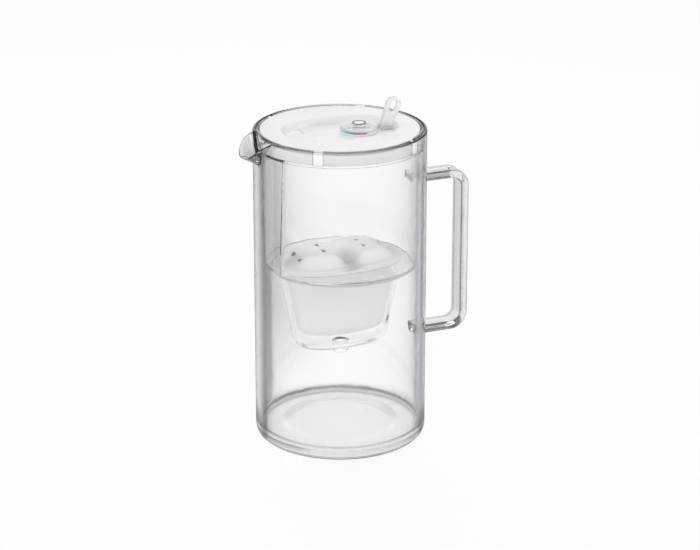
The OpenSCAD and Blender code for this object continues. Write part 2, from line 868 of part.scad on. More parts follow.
module colour_ring() {
    color([0.2, 0.75, 0.75])
    difference() {
        at_timer(colour_z) cylinder(r = housing_r, h = colour_t);
        at_timer(colour_z - cut) cylinder(r = housing_r - colour_w, h = colour_t + 2 * cut);
    }
}

module timer_lens() {
    round = 0.6;
    color(clear_plastic)
    difference() {
        union() {
            at_timer(lens_z) rotate_extrude($fn = 120) {
                square([lens_d / 2 - round, lens_t]);
                square([lens_d / 2, lens_t - round]);
                translate([lens_d / 2 - round, lens_t - round]) circle(round, $fn = 32);
            }
            at_timer(colour_z) cylinder(r = housing_r - colour_w - push_gap, h = colour_t);
        }
        at_button(colour_z - cut) cylinder(r = bezel_r, h = far);
    }
}

module button_bezel() {
    color([0.16, 0.18, 0.2])
    difference() {
        at_button(colour_z) cylinder(r = bezel_r, h = lens_top - colour_z + bezel_proud);
        at_button(colour_z - cut) cylinder(r = bezel_in_r, h = far);
        at_button(colour_z - cut)
            cylinder(r = bezel_in_r + button_lip, h = lip_z + lip_t + push_gap - colour_z + cut);
    }
}

module reset_button() {
    stem_z = board_z + board_t + dome_h;
    color(white_plastic) {
        at_button(lip_z) cylinder(r = button_r, h = lens_top - lip_z);
        at_button(lip_z) cylinder(r = bezel_in_r + button_lip - 2 * push_gap, h = lip_t);
        at_button(stem_z) cylinder(r = stem_r, h = lip_z - stem_z, $fn = 48);
    }
}

module snap_dome() {
    r = dome_d / 2;
    sphere_r = (r * r + dome_h * dome_h) / (2 * dome_h);
    color([0.78, 0.79, 0.8])
    at_button(board_z + board_t)
        intersection() {
            translate([0, 0, dome_h - sphere_r]) sphere(r = sphere_r, $fn = 64);
            cylinder(r = r, h = dome_h, $fn = 64);
        }
}

module timer_board() {
    color([0.1, 0.38, 0.26]) at_timer(board_z) cylinder(r = board_r, h = board_t);
}

module timer_lights() {
    color([0.95, 0.95, 0.85])
        for (k = [-1:1]) at_timer(board_z + board_t)
            translate([k * light_pitch - light[0] / 2, light_y - light[1] / 2, 0]) cube(light);
}

module battery_contact() {
    t = contact[2];
    color([0.85, 0.78, 0.5]) at_timer(0) {
        translate([-contact[0], -contact[1] / 2, board_z - t]) cube(contact);
        translate([-t, -contact[1] / 2, cell_z + cell_t]) cube([t, contact[1], contact_h]);
        translate([-t, -contact[1] / 2, cell_z + cell_t]) cube(contact);
    }
}

module button_cell() {
    step = cell_t / 8;
    color([0.82, 0.83, 0.84]) {
        at_timer(cell_z) cylinder(d = cell_d - 6 * step, h = cell_t / 2);
        at_timer(cell_z + step) cylinder(d = cell_d, h = cell_t - step);
    }
}

module battery_cover() {
    color(white_plastic)
    difference() {
        union() {
            at_timer(cover_z) cylinder(r = tube_r, h = cover_t);
            at_timer(cover_z + cover_t) cylinder(r = tube_in_r - 2 * push_gap, h = cover_plug);
        }
        at_timer(cover_z - cut) translate([-coin_slot[0] / 2, -coin_slot[1] / 2, 0])
            cube([coin_slot[0], coin_slot[1], cut + coin_slot[2]]);
    }
}

jug_body();
handle();
reservoir();
cartridge_shell();
cartridge_cap();
cartridge_seal();
inlet_screen();
outlet_screen();
filter_granulate();
lid_shell();
hinge_pin();
flap_panel();
flap_seal();
pull_loop();
timer_housing();
timer_gasket();
colour_ring();
timer_lens();
button_bezel();
reset_button();
snap_dome();
timer_board();
timer_lights();
battery_contact();
button_cell();
battery_cover();
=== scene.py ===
# %% [markdown]
# A clear filter pitcher on a white ground. The imported model gives every place and size in metres,
# so this lesson starts by loading it, with a helper that measures a part's box, before anything is added.

# %% Load the imported model
import json
import math

import bmesh
import bpy
from mathutils import Matrix, Vector


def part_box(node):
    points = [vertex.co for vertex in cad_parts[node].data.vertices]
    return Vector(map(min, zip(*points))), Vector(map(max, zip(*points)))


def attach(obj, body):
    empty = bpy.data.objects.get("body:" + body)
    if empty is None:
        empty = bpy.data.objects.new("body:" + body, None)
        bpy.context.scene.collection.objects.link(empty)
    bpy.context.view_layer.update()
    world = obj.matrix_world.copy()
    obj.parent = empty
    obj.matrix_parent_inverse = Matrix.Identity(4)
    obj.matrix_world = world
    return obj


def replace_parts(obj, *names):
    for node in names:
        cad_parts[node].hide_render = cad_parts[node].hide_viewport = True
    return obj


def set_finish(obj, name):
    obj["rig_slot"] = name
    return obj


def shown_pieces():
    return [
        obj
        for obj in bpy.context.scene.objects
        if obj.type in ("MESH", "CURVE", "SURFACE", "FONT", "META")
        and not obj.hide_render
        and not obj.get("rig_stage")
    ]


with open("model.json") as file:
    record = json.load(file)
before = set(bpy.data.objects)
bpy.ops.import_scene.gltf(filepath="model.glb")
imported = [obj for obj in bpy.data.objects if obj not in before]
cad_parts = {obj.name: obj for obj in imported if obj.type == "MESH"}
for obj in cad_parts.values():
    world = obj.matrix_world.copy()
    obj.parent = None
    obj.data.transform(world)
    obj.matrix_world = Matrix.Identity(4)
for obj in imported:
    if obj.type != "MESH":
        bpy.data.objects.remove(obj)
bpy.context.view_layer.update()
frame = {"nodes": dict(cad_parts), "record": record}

# %% [markdown]
# The camera stands in front and to the left, about 20 degrees above the table, with a long lens, as a
# product is photographed so that its walls stay upright. Its place was found from the rim, the walls
# and the foot in the photograph.

# %% Camera
MM = 0.001
VIEW_TURN = math.radians(-23)
VIEW_RISE = math.radians(19.92)
VIEW_FAR = 1.9695
LENS_MM = 133.71
SENSOR_MM = 36.0
AIM_SIDE = 7.53 * MM
AIM_HEIGHT = 126.8 * MM

back = Vector((
    math.sin(VIEW_TURN) * math.cos(VIEW_RISE),
    -math.cos(VIEW_TURN) * math.cos(VIEW_RISE),
    math.sin(VIEW_RISE),
))
aim = Vector((math.cos(VIEW_TURN), math.sin(VIEW_TURN), 0)) * AIM_SIDE + Vector((0, 0, AIM_HEIGHT))
camera = bpy.data.objects.new("camera", bpy.data.cameras.new("camera"))
camera.data.lens = LENS_MM
camera.data.sensor_width = SENSOR_MM
camera.location = aim + back * VIEW_FAR
camera.rotation_mode = "QUATERNION"
camera.rotation_quaternion = (-back).to_track_quat("-Z", "Y")
bpy.context.scene.collection.objects.link(camera)
bpy.context.scene.camera = camera
bpy.context.scene.view_settings.view_transform = "Standard"
print("camera at", [round(v, 3) for v in camera.location])

# %% [markdown]
# Shader maths reads best as plain sums. A Wire holds one socket of a node tree, and Python's own signs
# on it add Math nodes. Every other node comes from one method, Finish.node, which sets the node's
# settings first and then its inputs. Nodes that are needed often have a short method of their own.

# %% Wires and finishes
WHITE = (1.0, 1.0, 1.0, 1.0)


class Wire:
    """A socket in a node tree that Python's signs can reckon with."""

    def __init__(self, finish, socket):
        self.finish = finish
        self.socket = socket

    def __add__(self, other):
        return self.finish.maths("ADD", self, other)

    def __sub__(self, other):
        return self.finish.maths("SUBTRACT", self, other)

    def __rsub__(self, other):
        return self.finish.maths("SUBTRACT", other, self)

    def __mul__(self, other):
        return self.finish.maths("MULTIPLY", self, other)

    def __truediv__(self, other):
        return self.finish.maths("DIVIDE", self, other)

    def __abs__(self):
        return self.finish.maths("ABSOLUTE", self)

    def above(self, other):
        """1 where this value is the larger, 0 elsewhere."""
        return self.finish.maths("GREATER_THAN", self, other)

    def below(self, other):
        """1 where this value is the smaller, 0 elsewhere."""
        return self.finish.maths("LESS_THAN", self, other)

    def largest(self, other):
        return self.finish.maths("MAXIMUM", self, other)


class Finish:
    """A material, or the world, that is built one node at a time."""

    def __init__(self, owner):
        owner.use_nodes = True
        self.owner = owner
        self.tree = owner.node_tree
        self.tree.nodes.clear()

    def node(self, kind, settings=None, inputs=None, output=0):
        made = self.tree.nodes.new(kind)
        for name, value in (settings or {}).items():
            if name == "stops":
                ramp = made.color_ramp
                while len(ramp.elements) < len(value):
                    ramp.elements.new(1.0)
                for stop, (place, colour) in zip(ramp.elements, value):
                    stop.position = place
                    stop.color = colour
            else:
                setattr(made, name, value)
        for name, value in (inputs or {}).items():
            self.feed(made.inputs[name], value)
        return Wire(self, made.outputs[output])

    def feed(self, socket, value):
        if isinstance(value, Wire):
            self.tree.links.new(value.socket, socket)
        else:
            socket.default_value = value

    def maths(self, operation, first, second=0.0):
        return self.node("ShaderNodeMath", {"operation": operation}, {0: first, 1: second})

    def vector(self, operation, first, second=(0.0, 0.0, 0.0), output=0):
        return self.node("ShaderNodeVectorMath", {"operation": operation}, {0: first, 1: second}, output)

    def split(self, vector):
        """The three numbers of a vector."""
        made = self.node("ShaderNodeSeparateXYZ", None, {"Vector": vector}).socket.node
        return [Wire(self, made.outputs[axis]) for axis in "XYZ"]

    def place(self):
        """The point that is shaded, in the piece's own metres."""
        return self.node("ShaderNodeTexCoord", output="Object")

    def ramp(self, stops, share):
        """A colour ramp, in which a bare number is a grey and three numbers are a colour."""
        full = [(at, (c, c, c, 1) if isinstance(c, float) else (*c[:3], 1)) for at, c in stops]
        return self.node("ShaderNodeValToRGB", {"stops": full}, {"Fac": share})

    def facing(self):
        """0 where the surface faces the eye, 1 where it is seen edge on."""
        return self.node("ShaderNodeLayerWeight", None, {"Blend": 0.5}, output="Facing")

    def grain(self, scale, detail, low, high):
        """A fine noise between two values, for a gloss that isn't quite even."""
        noise = self.node("ShaderNodeTexNoise", None, {"Scale": scale, "Detail": detail})
        return self.node("ShaderNodeMapRange", None, {"Value": noise, "To Min": low, "To Max": high})

    def smooth_range(self, value, low, high, to_low=0.0, to_high=1.0):
        return self.node("ShaderNodeMapRange", {"interpolation_type": "SMOOTHSTEP"}, {
            "Value": value, "From Min": low, "From Max": high, "To Min": to_low, "To Max": to_high})

    def ray(self, name):
        """One Light Path answer: 1 for such a ray, 0 for others, or a count of steps."""
        return self.node("ShaderNodeLightPath", output=name)

    def after_bounce(self):
        """1 for a ray that has left a matt surface, so that carries light and isn't seen."""
        return self.maths("MINIMUM", self.ray("Diffuse Depth"), 1.0)

    def principled(self, inputs):
        return self.node("ShaderNodeBsdfPrincipled", None, inputs)

    def clear_to(self, colour):
        return self.node("ShaderNodeBsdfTransparent", None, {"Color": colour})

    def chosen(self, share, first, second):
        """The first shader where the share is 0, the second where it is 1."""
        return self.node("ShaderNodeMixShader", None, {0: share, 1: first, 2: second})

    def ends_in(self, shader, kind="ShaderNodeOutputMaterial"):
        end = self.tree.nodes.new(kind)
        self.tree.links.new(shader.socket, end.inputs["Surface"])
        return self.owner


def new_finish(name):
    return Finish(bpy.data.materials.new(name))


print("shader helpers are ready")

# %% [markdown]
# The photograph has a plain white ground. The world is white for rays from the camera. Rays that come
# through the clear plastic see it with a darker ceiling and one soft dark strip, and a gloss sees a
# greyer room with bright panels, which draws upright streaks on the walls. The light that falls on
# things comes more from the sides than from above. What reaches a matt surface through the plastic is
# stronger, so that the things inside the pitcher are as bright as the lid.

# %% World
SIDE_LIGHT = 0.96
TOP_LIGHT = 0.70
INSIDE_LIGHT = 1.5
STRIP_TURN = math.radians(90) + VIEW_TURN + math.radians(17)
STRIP_WIDE = math.radians(9)
STRIP_DARK = 0.34
CEILING_FROM = (0.18, 0.45)
CEILING_DARK = 0.22
PANELS = 5
PANEL_TURN = 0.9
GLOSS_DARK = 0.22
GLOSS_BRIGHT = 0.95


def side_strip(finish, east, north, share):
    """Darker in one soft upright strip to the left of the backdrop, 1 elsewhere."""
    off = (finish.maths("ARCTAN2", north, east) - STRIP_TURN) / STRIP_WIDE
    return 1.0 - finish.maths("EXPONENT", off * off * -1.0) * share * STRIP_DARK


def between(share, first, second):
    return first + (second - first) * share


world = bpy.data.worlds.new("studio")
bpy.context.scene.world = world
studio = Finish(world)
east, north, up = studio.split(studio.node("ShaderNodeTexCoord", output="Generated"))
steep = abs(up)
phase = studio.maths("ARCTAN2", north, east) * PANELS + PANEL_TURN
panel = studio.maths("COSINE", phase) * 0.5 + 0.5
gloss_strength = (panel * (1.0 - steep) + steep) * (GLOSS_BRIGHT - GLOSS_DARK) + GLOSS_DARK
light_strength = steep * (TOP_LIGHT - SIDE_LIGHT) + SIDE_LIGHT
ceiling = studio.smooth_range(up, *CEILING_FROM, 1.0, CEILING_DARK)
through_strength = between(
    studio.after_bounce(), side_strip(studio, east, north, 1.0) * ceiling, INSIDE_LIGHT)


def backdrop(strength):
    return studio.node("ShaderNodeBackground", None, {"Color": WHITE, "Strength": strength})


studio_room = studio.chosen(
    studio.ray("Is Glossy Ray"), backdrop(light_strength), backdrop(gloss_strength))
studio_inside = studio.chosen(
    studio.ray("Is Transmission Ray"), studio_room, backdrop(through_strength))
studio.ends_in(studio.chosen(
    studio.ray("Is Camera Ray"), studio_inside, backdrop(1.0)), "ShaderNodeOutputWorld")
print("world light", SIDE_LIGHT, TOP_LIGHT)

# %% [markdown]
# The floor is one large plain disc. It glows white for the eye and keeps a share of real shading, so
# the pitcher still throws a soft shadow on it. Under the pitcher its glow has a painted shadow for
# every other ray, as a table under a jug is darker, and that draws the grey in the thick base.

# %% Floor
FLOOR_R = 6.0
FLOOR_SIDES = 64
FLOOR_GLOW = 0.66
FLOOR_SHADE = 0.34
FLOOR_LIGHT = 1.3
FLOOR_INSIDE = 1.3
FLOOR_GLOSS = 0.42
# Painted shadow: how much of the floor's glow is left under the pitcher, by distance from its axis.
FLOOR_SHADOW_STOPS = [
    (0.0, 0.96), (0.54, 0.94), (0.60, 0.86), (0.65, 0.60), (0.74, 0.50), (0.84, 0.70), (0.94, 0.94),
    (1.0, 1.0)]
STRIP_FROM = (0.12, 0.30)
FLOOR_SHADOW_R = 0.100


def mesh_object(name, bm, body=None, slot=None):
    """A finished mesh as an object at the origin, riding on a body of the frame."""
    mesh = bpy.data.meshes.new(name)
    bm.to_mesh(mesh)
    bm.free()
    made = bpy.data.objects.new(name, mesh)
    bpy.context.scene.collection.objects.link(made)
    if body:
        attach(made, body)
    if slot:
        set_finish(made, slot)
    return made


bm = bmesh.new()
bmesh.ops.create_circle(bm, cap_ends=True, segments=FLOOR_SIDES, radius=FLOOR_R)
floor = mesh_object("floor", bm)
floor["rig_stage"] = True

ground = new_finish("floor_white")
away = ground.vector("LENGTH", ground.place(), output="Value")
# Painted shadow in the floor's glow under the pitcher, for every ray but the camera's.
under = ground.ramp(FLOOR_SHADOW_STOPS, away / FLOOR_SHADOW_R)
floor_east, floor_north, _ = ground.split(ground.place())
strip_share = ground.node("ShaderNodeMapRange", None, {
    "Value": away, "From Min": STRIP_FROM[0], "From Max": STRIP_FROM[1]})
floor_strip = side_strip(ground, floor_east, floor_north, strip_share)
matt = ground.node("ShaderNodeBsdfDiffuse", None, {"Color": (FLOOR_SHADE, FLOOR_SHADE, FLOOR_SHADE, 1)})


def glow(strength):
    return ground.node("ShaderNodeEmission", None, {"Color": WHITE, "Strength": strength})


floor_seen = ground.node("ShaderNodeAddShader", None, {0: matt, 1: glow(FLOOR_GLOW)})
floor_room = ground.chosen(
    ground.ray("Is Glossy Ray"), glow(under * FLOOR_LIGHT), glow(under * FLOOR_GLOSS))
floor_through = ground.chosen(
    ground.ray("Is Transmission Ray"), floor_room,
    glow(between(ground.after_bounce(), under * floor_strip, FLOOR_INSIDE)))
floor.data.materials.append(ground.ends_in(
    ground.chosen(ground.ray("Is Camera Ray"), floor_through, floor_seen)))
print("floor", FLOOR_R, "m in radius")

# %% [markdown]
# Two soft boxes stand to the left and right of the camera, and a third hangs above. They give the lid
# and the rim their long soft highlights.

# %% Lamps
LAMPS = {
    "key_left": ((-1.1, -1.0, 1.2), (0.7, 0.9), 4.0),
    "fill_right": ((1.2, -0.9, 0.7), (0.5, 1.0), 2.4),
    "top_back": ((0.2, 0.9, 1.3), (0.9, 0.5), 3.0),
}

for name, (place, size, power) in LAMPS.items():
    light = bpy.data.lights.new(name, "AREA")
    light.shape = "RECTANGLE"
    light.size, light.size_y = size
    light.energy = power
    lamp = bpy.data.objects.new(name, light)
    lamp.location = place
    lamp.rotation_euler = (Vector((0, 0, AIM_HEIGHT)) - Vector(place)).to_track_quat("-Z", "Y").to_euler()
    bpy.context.scene.collection.objects.link(lamp)
print("lamps", len(LAMPS))

# %% [markdown]
# Most pieces here are walls that run round the upright axis, so they are lofted: a first ring of
# points, extruded ring by ring, each new ring put on its own outline. A ring is round, oval, or round
# with one flat side. All rings of a piece have the same number of points, so the wall stays even.

# %% Lofting helpers
TURN = 2 * math.pi
OVAL_POWER = 2.4


def oval_xy(half_long, half_wide, angle):
    """A point of the fuller oval that the well, the cartridge and the flap share."""
    c, s = math.cos(angle), math.sin(angle)
    power = 2 / OVAL_POWER
    return (math.copysign(abs(c) ** power, c) * half_long, math.copysign(abs(s) ** power, s) * half_wide)


def round_ring(radius, z):
    return lambda angle: (radius * math.cos(angle), radius * math.sin(angle), z)


def oval_ring(half_long, half_wide, z):
    return lambda angle: (*oval_xy(half_long, half_wide, angle), z)


def arc(centre_r, centre_z, radius, start, end, steps):
    """Points (r, z) along an arc, with its angles in degrees from outward, anticlockwise."""
    points = []
    for k in range(steps + 1):
        angle = math.radians(start + (end - start) * k / steps)
        points.append((centre_r + radius * math.cos(angle), centre_z + radius * math.sin(angle)))
    return points


def next_ring(bm, verts, edges, outline, angles):
    """Extrudes a closed ring of edges and puts the new points on an outline."""
    made = bmesh.ops.extrude_edge_only(bm, edges=edges)["geom"]
    new_edges = [g for g in made if isinstance(g, bmesh.types.BMEdge)]
    fresh = {g for g in made if isinstance(g, bmesh.types.BMVert)}
    ring = []
    for vert, angle in zip(verts, angles):
        partner = next(e.other_vert(vert) for e in vert.link_edges if e.other_vert(vert) in fresh)
        partner.co = outline(angle)
        ring.append(partner)
    return ring, [e for e in new_edges if e.verts[0] in fresh and e.verts[1] in fresh]


def loft(outlines, sides, angles=None, closed=False):
    """A bmesh wall through all the outlines; a closed one joins its last ring to its first."""
    bm = bmesh.new()
    angles = angles or [TURN * k / sides for k in range(sides)]
    first = [bm.verts.new(outlines[0](a)) for a in angles]
    edges = [bm.edges.new((first[k], first[(k + 1) % sides])) for k in range(sides)]
    verts = first
    for outline in outlines[1:]:
        verts, edges = next_ring(bm, verts, edges, outline, angles)
    if closed:
        last, _ = next_ring(bm, verts, edges, outlines[0], angles)
        bmesh.ops.weld_verts(bm, targetmap=dict(zip(last, first)))
    else:
        bmesh.ops.contextual_create(bm, geom=edges)
        first_edges = [e for e in bm.edges if e.verts[0] in first and e.verts[1] in first]
        bmesh.ops.contextual_create(bm, geom=first_edges)
    return bm


def soft_shaded(made, limit=32):
    """Smooth shading that stays crisp at edges sharper than the limit, in degrees."""
    made.data.shade_smooth()
    made.data.set_sharp_from_angle(angle=math.radians(limit))
    return made


def outward(bm):
    """Turns all faces outward, also where the piece was lofted from the inside."""
    bmesh.ops.recalc_face_normals(bm, faces=bm.faces[:])
    if bm.calc_volume(signed=True) < 0:
        bmesh.ops.reverse_faces(bm, faces=bm.faces[:])
    return bm


print("loft helpers are ready")

# %% [markdown]
# The jug is one thick moulding: a rounded foot, a heavy floor with a shallow dish, straight walls, a
# ledge near the top that carries the reservoir, and a rounded rim. Its half section is spun round the
# axis, with finer steps at the spout, because the lip needs more points than the round wall.

# %% Jug sizes
_, jug_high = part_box("jug_body")
JUG_R = 65 * MM
JUG_H = jug_high.z
RIM_IN_R = 62.4 * MM
JUG_IN_R = 61 * MM
LEDGE_Z = 231 * MM
FLOOR_T = 10 * MM
FOOT_ROUND = 8.5 * MM
INNER_FILLET = 4 * MM
DISH_R = 42 * MM
DISH_DEPTH = 2.5 * MM
DISH_SLOPE = 9 * MM
DISH_STEPS = 12
RIM_ROUND = (JUG_R - RIM_IN_R) / 2
WALL_STEP = 12 * MM
LIP_STEP = 1 * MM
SPOUT_LOW = 214 * MM
FOOT_STEPS = 14
RIM_STEPS = 10
FILLET_STEPS = 8


def steps_between(low, high, step):
    """Heights from low to high, both left out, about one step apart."""
    count = max(1, round(abs(high - low) / step))
    return [low + (high - low) * k / count for k in range(1, count)]


profile = [(0.0, 0.0), (0.02, 0.0), (0.04, 0.0)]
profile += arc(JUG_R - FOOT_ROUND, FOOT_ROUND, FOOT_ROUND, -90, 0, FOOT_STEPS)
profile += [(JUG_R, z) for z in steps_between(FOOT_ROUND, SPOUT_LOW, WALL_STEP)]
profile += [(JUG_R, z) for z in [SPOUT_LOW, *steps_between(SPOUT_LOW, JUG_H - RIM_ROUND, LIP_STEP)]]
profile += arc(JUG_R - RIM_ROUND, JUG_H - RIM_ROUND, RIM_ROUND, 0, 180, RIM_STEPS)
profile += [(RIM_IN_R, z) for z in steps_between(JUG_H - RIM_ROUND, LEDGE_Z, LIP_STEP)]
profile += [(RIM_IN_R, LEDGE_Z), (JUG_IN_R, LEDGE_Z)]
profile += [(JUG_IN_R, z) for z in [*steps_between(LEDGE_Z, SPOUT_LOW, LIP_STEP), SPOUT_LOW]]
profile += [(JUG_IN_R, z) for z in steps_between(SPOUT_LOW, FLOOR_T + INNER_FILLET, WALL_STEP)]
profile += arc(JUG_IN_R - INNER_FILLET, FLOOR_T + INNER_FILLET, INNER_FILLET, 0, -90, FILLET_STEPS)
for k in range(DISH_STEPS + 1):
    share = k / DISH_STEPS
    profile.append((
        DISH_R + DISH_SLOPE * (0.5 - share), FLOOR_T - DISH_DEPTH * share * share * (3 - 2 * share)))
profile += [(0.02, FLOOR_T - DISH_DEPTH), (0.0, FLOOR_T - DISH_DEPTH)]
print("jug profile points", len(profile))

# %% [markdown]
# The spout is drawn out of the wall near the rim. Seen from above its lip is a rounded tongue, and it
# dips towards its tip. Every point of the wall in front of it is moved out to a fan of straight lines
# from a root on the wall to the lip, outside and inside, and the fold is then relaxed a little.

# %% Spout
SPOUT_HALF = 19.4 * MM
SPOUT_REACH = 14 * MM
SPOUT_DIP = 13.8 * MM
SPOUT_ROOT = 22 * MM
SPOUT_BACK = 57 * MM
SPOUT_WALL = 2.4 * MM
ROOT_X = 64 * MM
LIP_FULLNESS = 0.55
LIP_SAG = 1.33
BLEND = 1.2 * MM
SPOUT_SECTOR = 24
FINE_STEPS = 130
COARSE_STEPS = 240
AXIS_MERGE = 0.01 * MM
MOVED = 0.02 * MM
RELAX_TIMES = 3


def mix(a, b, share):
    return a + (b - a) * share


def soft_max(a, b, width):
    """The larger of two values, rounded off where they are close."""
    share = max(0.0, min(1.0, 0.5 + (b - a) / (2 * width)))
    return mix(a, b, share) + width * share * (1 - share)


def spout_point(x, y, z):
    """Where a point of the round wall lies once the spout is drawn out."""
    radius = math.hypot(x, y)
    inside = max(0.0, min(1.0, (JUG_R - radius) / (JUG_R - RIM_IN_R)))
    root_x = mix(ROOT_X, SPOUT_BACK, inside)
    root_z = JUG_H - SPOUT_ROOT + inside * SPOUT_WALL / 4
    inset = SPOUT_WALL * inside
    rise = (z - root_z) / (JUG_H - root_z)
    half = (SPOUT_HALF - inset) * rise
    if x > 0 or rise <= 0 or abs(y) >= half:
        return x, y, z
    turn = math.asin(y / half)
    lip_x = SPOUT_BACK + (JUG_R + SPOUT_REACH - inset - SPOUT_BACK) * math.cos(turn) ** LIP_FULLNESS
    lip_z = JUG_H - SPOUT_DIP * math.cos(turn) ** LIP_SAG
    out = root_x + rise * (lip_x - root_x)
    return -soft_max(-x, out, BLEND), y, root_z + rise * (lip_z - root_z)


bm = bmesh.new()
half_section = [bm.verts.new((r, 0, z)) for r, z in profile]
section_edges = [bm.edges.new(pair) for pair in zip(half_section, half_section[1:])]
bmesh.ops.rotate(
    bm, verts=half_section, cent=(0, 0, 0),
    matrix=Matrix.Rotation(math.radians(180 - SPOUT_SECTOR), 3, "Z"),
)
fine = bmesh.ops.spin(
    bm, geom=half_section + section_edges, axis=(0, 0, 1), cent=(0, 0, 0),
    angle=math.radians(2 * SPOUT_SECTOR), steps=FINE_STEPS, use_merge=False,
)
bmesh.ops.spin(
    bm, geom=fine["geom_last"], axis=(0, 0, 1), cent=(0, 0, 0),
    angle=math.radians(360 - 2 * SPOUT_SECTOR), steps=COARSE_STEPS, use_merge=False,
)
bmesh.ops.remove_doubles(bm, verts=bm.verts[:], dist=AXIS_MERGE)
spout_verts = []
for vert in bm.verts:
    place = spout_point(*vert.co)
    if (Vector(place) - vert.co).length > MOVED:
        vert.co = place
        spout_verts.append(vert)
for _ in range(RELAX_TIMES):
    bmesh.ops.smooth_vert(
        bm, verts=spout_verts, factor=0.5, use_axis_x=True, use_axis_y=True, use_axis_z=True)
jug = soft_shaded(mesh_object("jug_clear", outward(bm), "jug", "clear_jug"), 38)
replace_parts(jug, "jug_body")
print("jug faces", len(jug.data.polygons), "spout points", len(spout_verts))

# %% [markdown]
# The handle is one bar with softly rounded edges, bent twice. Its section is spun for each bend and
# extruded along each straight, and both ends stop at the wall.

# %% Handle
handle_low, handle_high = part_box("handle")
BAR_W = 16.5 * MM
BAR_T = 6.8 * MM
BAR_EDGE = 1.8 * MM
BEND_R = 14 * MM
BEND_STEPS = 24
BAR_EDGE_STEPS = 5
END_STEPS = 4
BOND = 0.05 * MM


def bar_outline():
    """The bar's section as (outward, across) pairs: a rectangle with four round corners."""
    points = []
    for out_sign, across_sign, start in ((1, 1, 0), (-1, 1, 90), (-1, -1, 180), (1, -1, 270)):
        for u, v in arc(0, 0, BAR_EDGE, start, start + 90, BAR_EDGE_STEPS):
            points.append((
                out_sign * (BAR_T / 2 - BAR_EDGE) + u, across_sign * (BAR_W / 2 - BAR_EDGE) + v))
    return points


def quarter_bend(centre_x, centre_z, radius, start):
    """A quarter turn of the handle's centre line, from a direction in degrees."""
    stops = []
    for k in range(BEND_STEPS + 1):
        turn = math.radians(start - 90 * k / BEND_STEPS)
        stops.append((
            centre_x + radius * math.cos(turn), centre_z + radius * math.sin(turn), math.degrees(turn)))
    return stops


def bar_path():
    """Centres and outward directions along the handle, from the upper end to the lower."""
    x_out = handle_high.x - BAR_T / 2
    top, bottom = handle_high.z - BAR_T / 2, handle_low.z + BAR_T / 2
    bend = BEND_R - BAR_T / 2
    stops = []
    for k in range(END_STEPS):
        stops.append((mix(JUG_R, x_out - bend, k / END_STEPS), top, 90))
    stops += quarter_bend(x_out - bend, top - bend, bend, 90)
    stops += quarter_bend(x_out - bend, bottom + bend, bend, 0)
    for k in range(1, END_STEPS + 1):
        stops.append((mix(x_out - bend, JUG_R, k / END_STEPS), bottom, -90))
    return stops


section = bar_outline()
bar_rings = []
for x, z, turn in bar_path():
    direction = Vector((math.cos(math.radians(turn)), 0, math.sin(math.radians(turn))))
    bar_rings.append([
        Vector((x, 0, z)) + direction * out + Vector((0, side, 0)) for out, side in section])
for ring in (bar_rings[0], bar_rings[-1]):
    for point in ring:
        point.x = math.sqrt(JUG_R ** 2 - point.y ** 2) - BOND
count = len(section)
bm = loft(
    [lambda k, ring=ring: ring[k] for ring in bar_rings], count, angles=list(range(count)))
handle = soft_shaded(mesh_object("handle_clear", outward(bm), "jug", "clear_jug"), 50)
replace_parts(handle, "handle")
print("handle faces", len(handle.data.polygons))

# %% [markdown]
# The reservoir is one wall: round at the collar, round with a flat panel towards the spout below it,
# and oval in the well. The panel's corners keep their own columns of points all the way down, so they
# stay sharp lines.

# %% Reservoir
RES_SIDES = 240
CORNER_COLUMN = math.radians(160)
PANEL_OUT_X = 54.4 * MM
RES_WALL = 2.4 * MM
RES_TOP_R = 60 * MM
RES_LOW_R = 57 * MM
RES_BOTTOM = 137 * MM
RES_FLOOR_T = 1.3 * MM
COLLAR_R = 62.1 * MM
COLLAR_IN_R = 59.8 * MM
SKIRT_Z = 232.6 * MM
WELL_A = 48 * MM
WELL_B = 27 * MM
WELL_LOW = 73.5 * MM
WELL_ROUND = 11 * MM
WELL_TAPER = 10 * MM
TAPER_B = 0.4
SPIGOT_R = 6.1 * MM
SPIGOT_BORE_R = 4.5 * MM
SPIGOT_END = 66.5 * MM
EDGE = 0.5 * MM
LEDGE_CLEAR = 0.01 * MM
CUP_ROWS = 5
CONE_ROWS = 6


def flat_sided_ring(radius, panel_x, z):
    """A round ring with its part beyond the panel cut straight."""
    corner = math.acos(-panel_x / radius)

    def outline(angle):
        turn = angle if angle <= math.pi else angle - TURN
        if abs(turn) <= CORNER_COLUMN:
            place = turn * corner / CORNER_COLUMN
            return radius * math.cos(place), radius * math.sin(place), z
        share = (math.pi - abs(turn)) / (math.pi - CORNER_COLUMN)
        return -panel_x, math.copysign(radius * math.sin(corner) * share, turn), z
    return outline


def shifted_round_ring(radius, z):
    """A round ring whose columns meet those of the flat sided rings."""
    corner = math.acos(-PANEL_OUT_X / RES_TOP_R)

    def outline(angle):
        turn = angle if angle <= math.pi else angle - TURN
        if abs(turn) <= CORNER_COLUMN:
            place = turn * corner / CORNER_COLUMN
        else:
            share = (math.pi - abs(turn)) / (math.pi - CORNER_COLUMN)
            place = math.copysign(mix(math.pi, corner, share), turn)
        return radius * math.cos(place), radius * math.sin(place), z
    return outline


def cup_rings(a, b, low, high, taper, bend, rows, bend_steps=8):
    """Outlines of a tapered oval cup from its top edge to its rounded bottom."""
    rings = []
    for k in range(rows + 1):
        share = k / rows
        rings.append(oval_ring(
            a - taper * share, b - taper * TAPER_B * share, mix(high, low + bend, share)))
    for k in range(1, bend_steps + 1):
        turn = math.radians(90 * k / bend_steps)
        inset = bend * (1 - math.cos(turn))
        rings.append(oval_ring(
            a - taper - inset, b - taper * TAPER_B - inset, low + bend * (1 - math.sin(turn))))
    return rings


def rounded_step(ring, first, last, z_first, z_last, steps=4):
    """Rings of a small round edge between two radii and heights."""
    rings = []
    for k in range(steps + 1):
        turn = math.radians(90 * k / steps)
        rings.append(ring(mix(first, last, 1 - math.cos(turn)), mix(z_first, z_last, math.sin(turn))))
    return rings


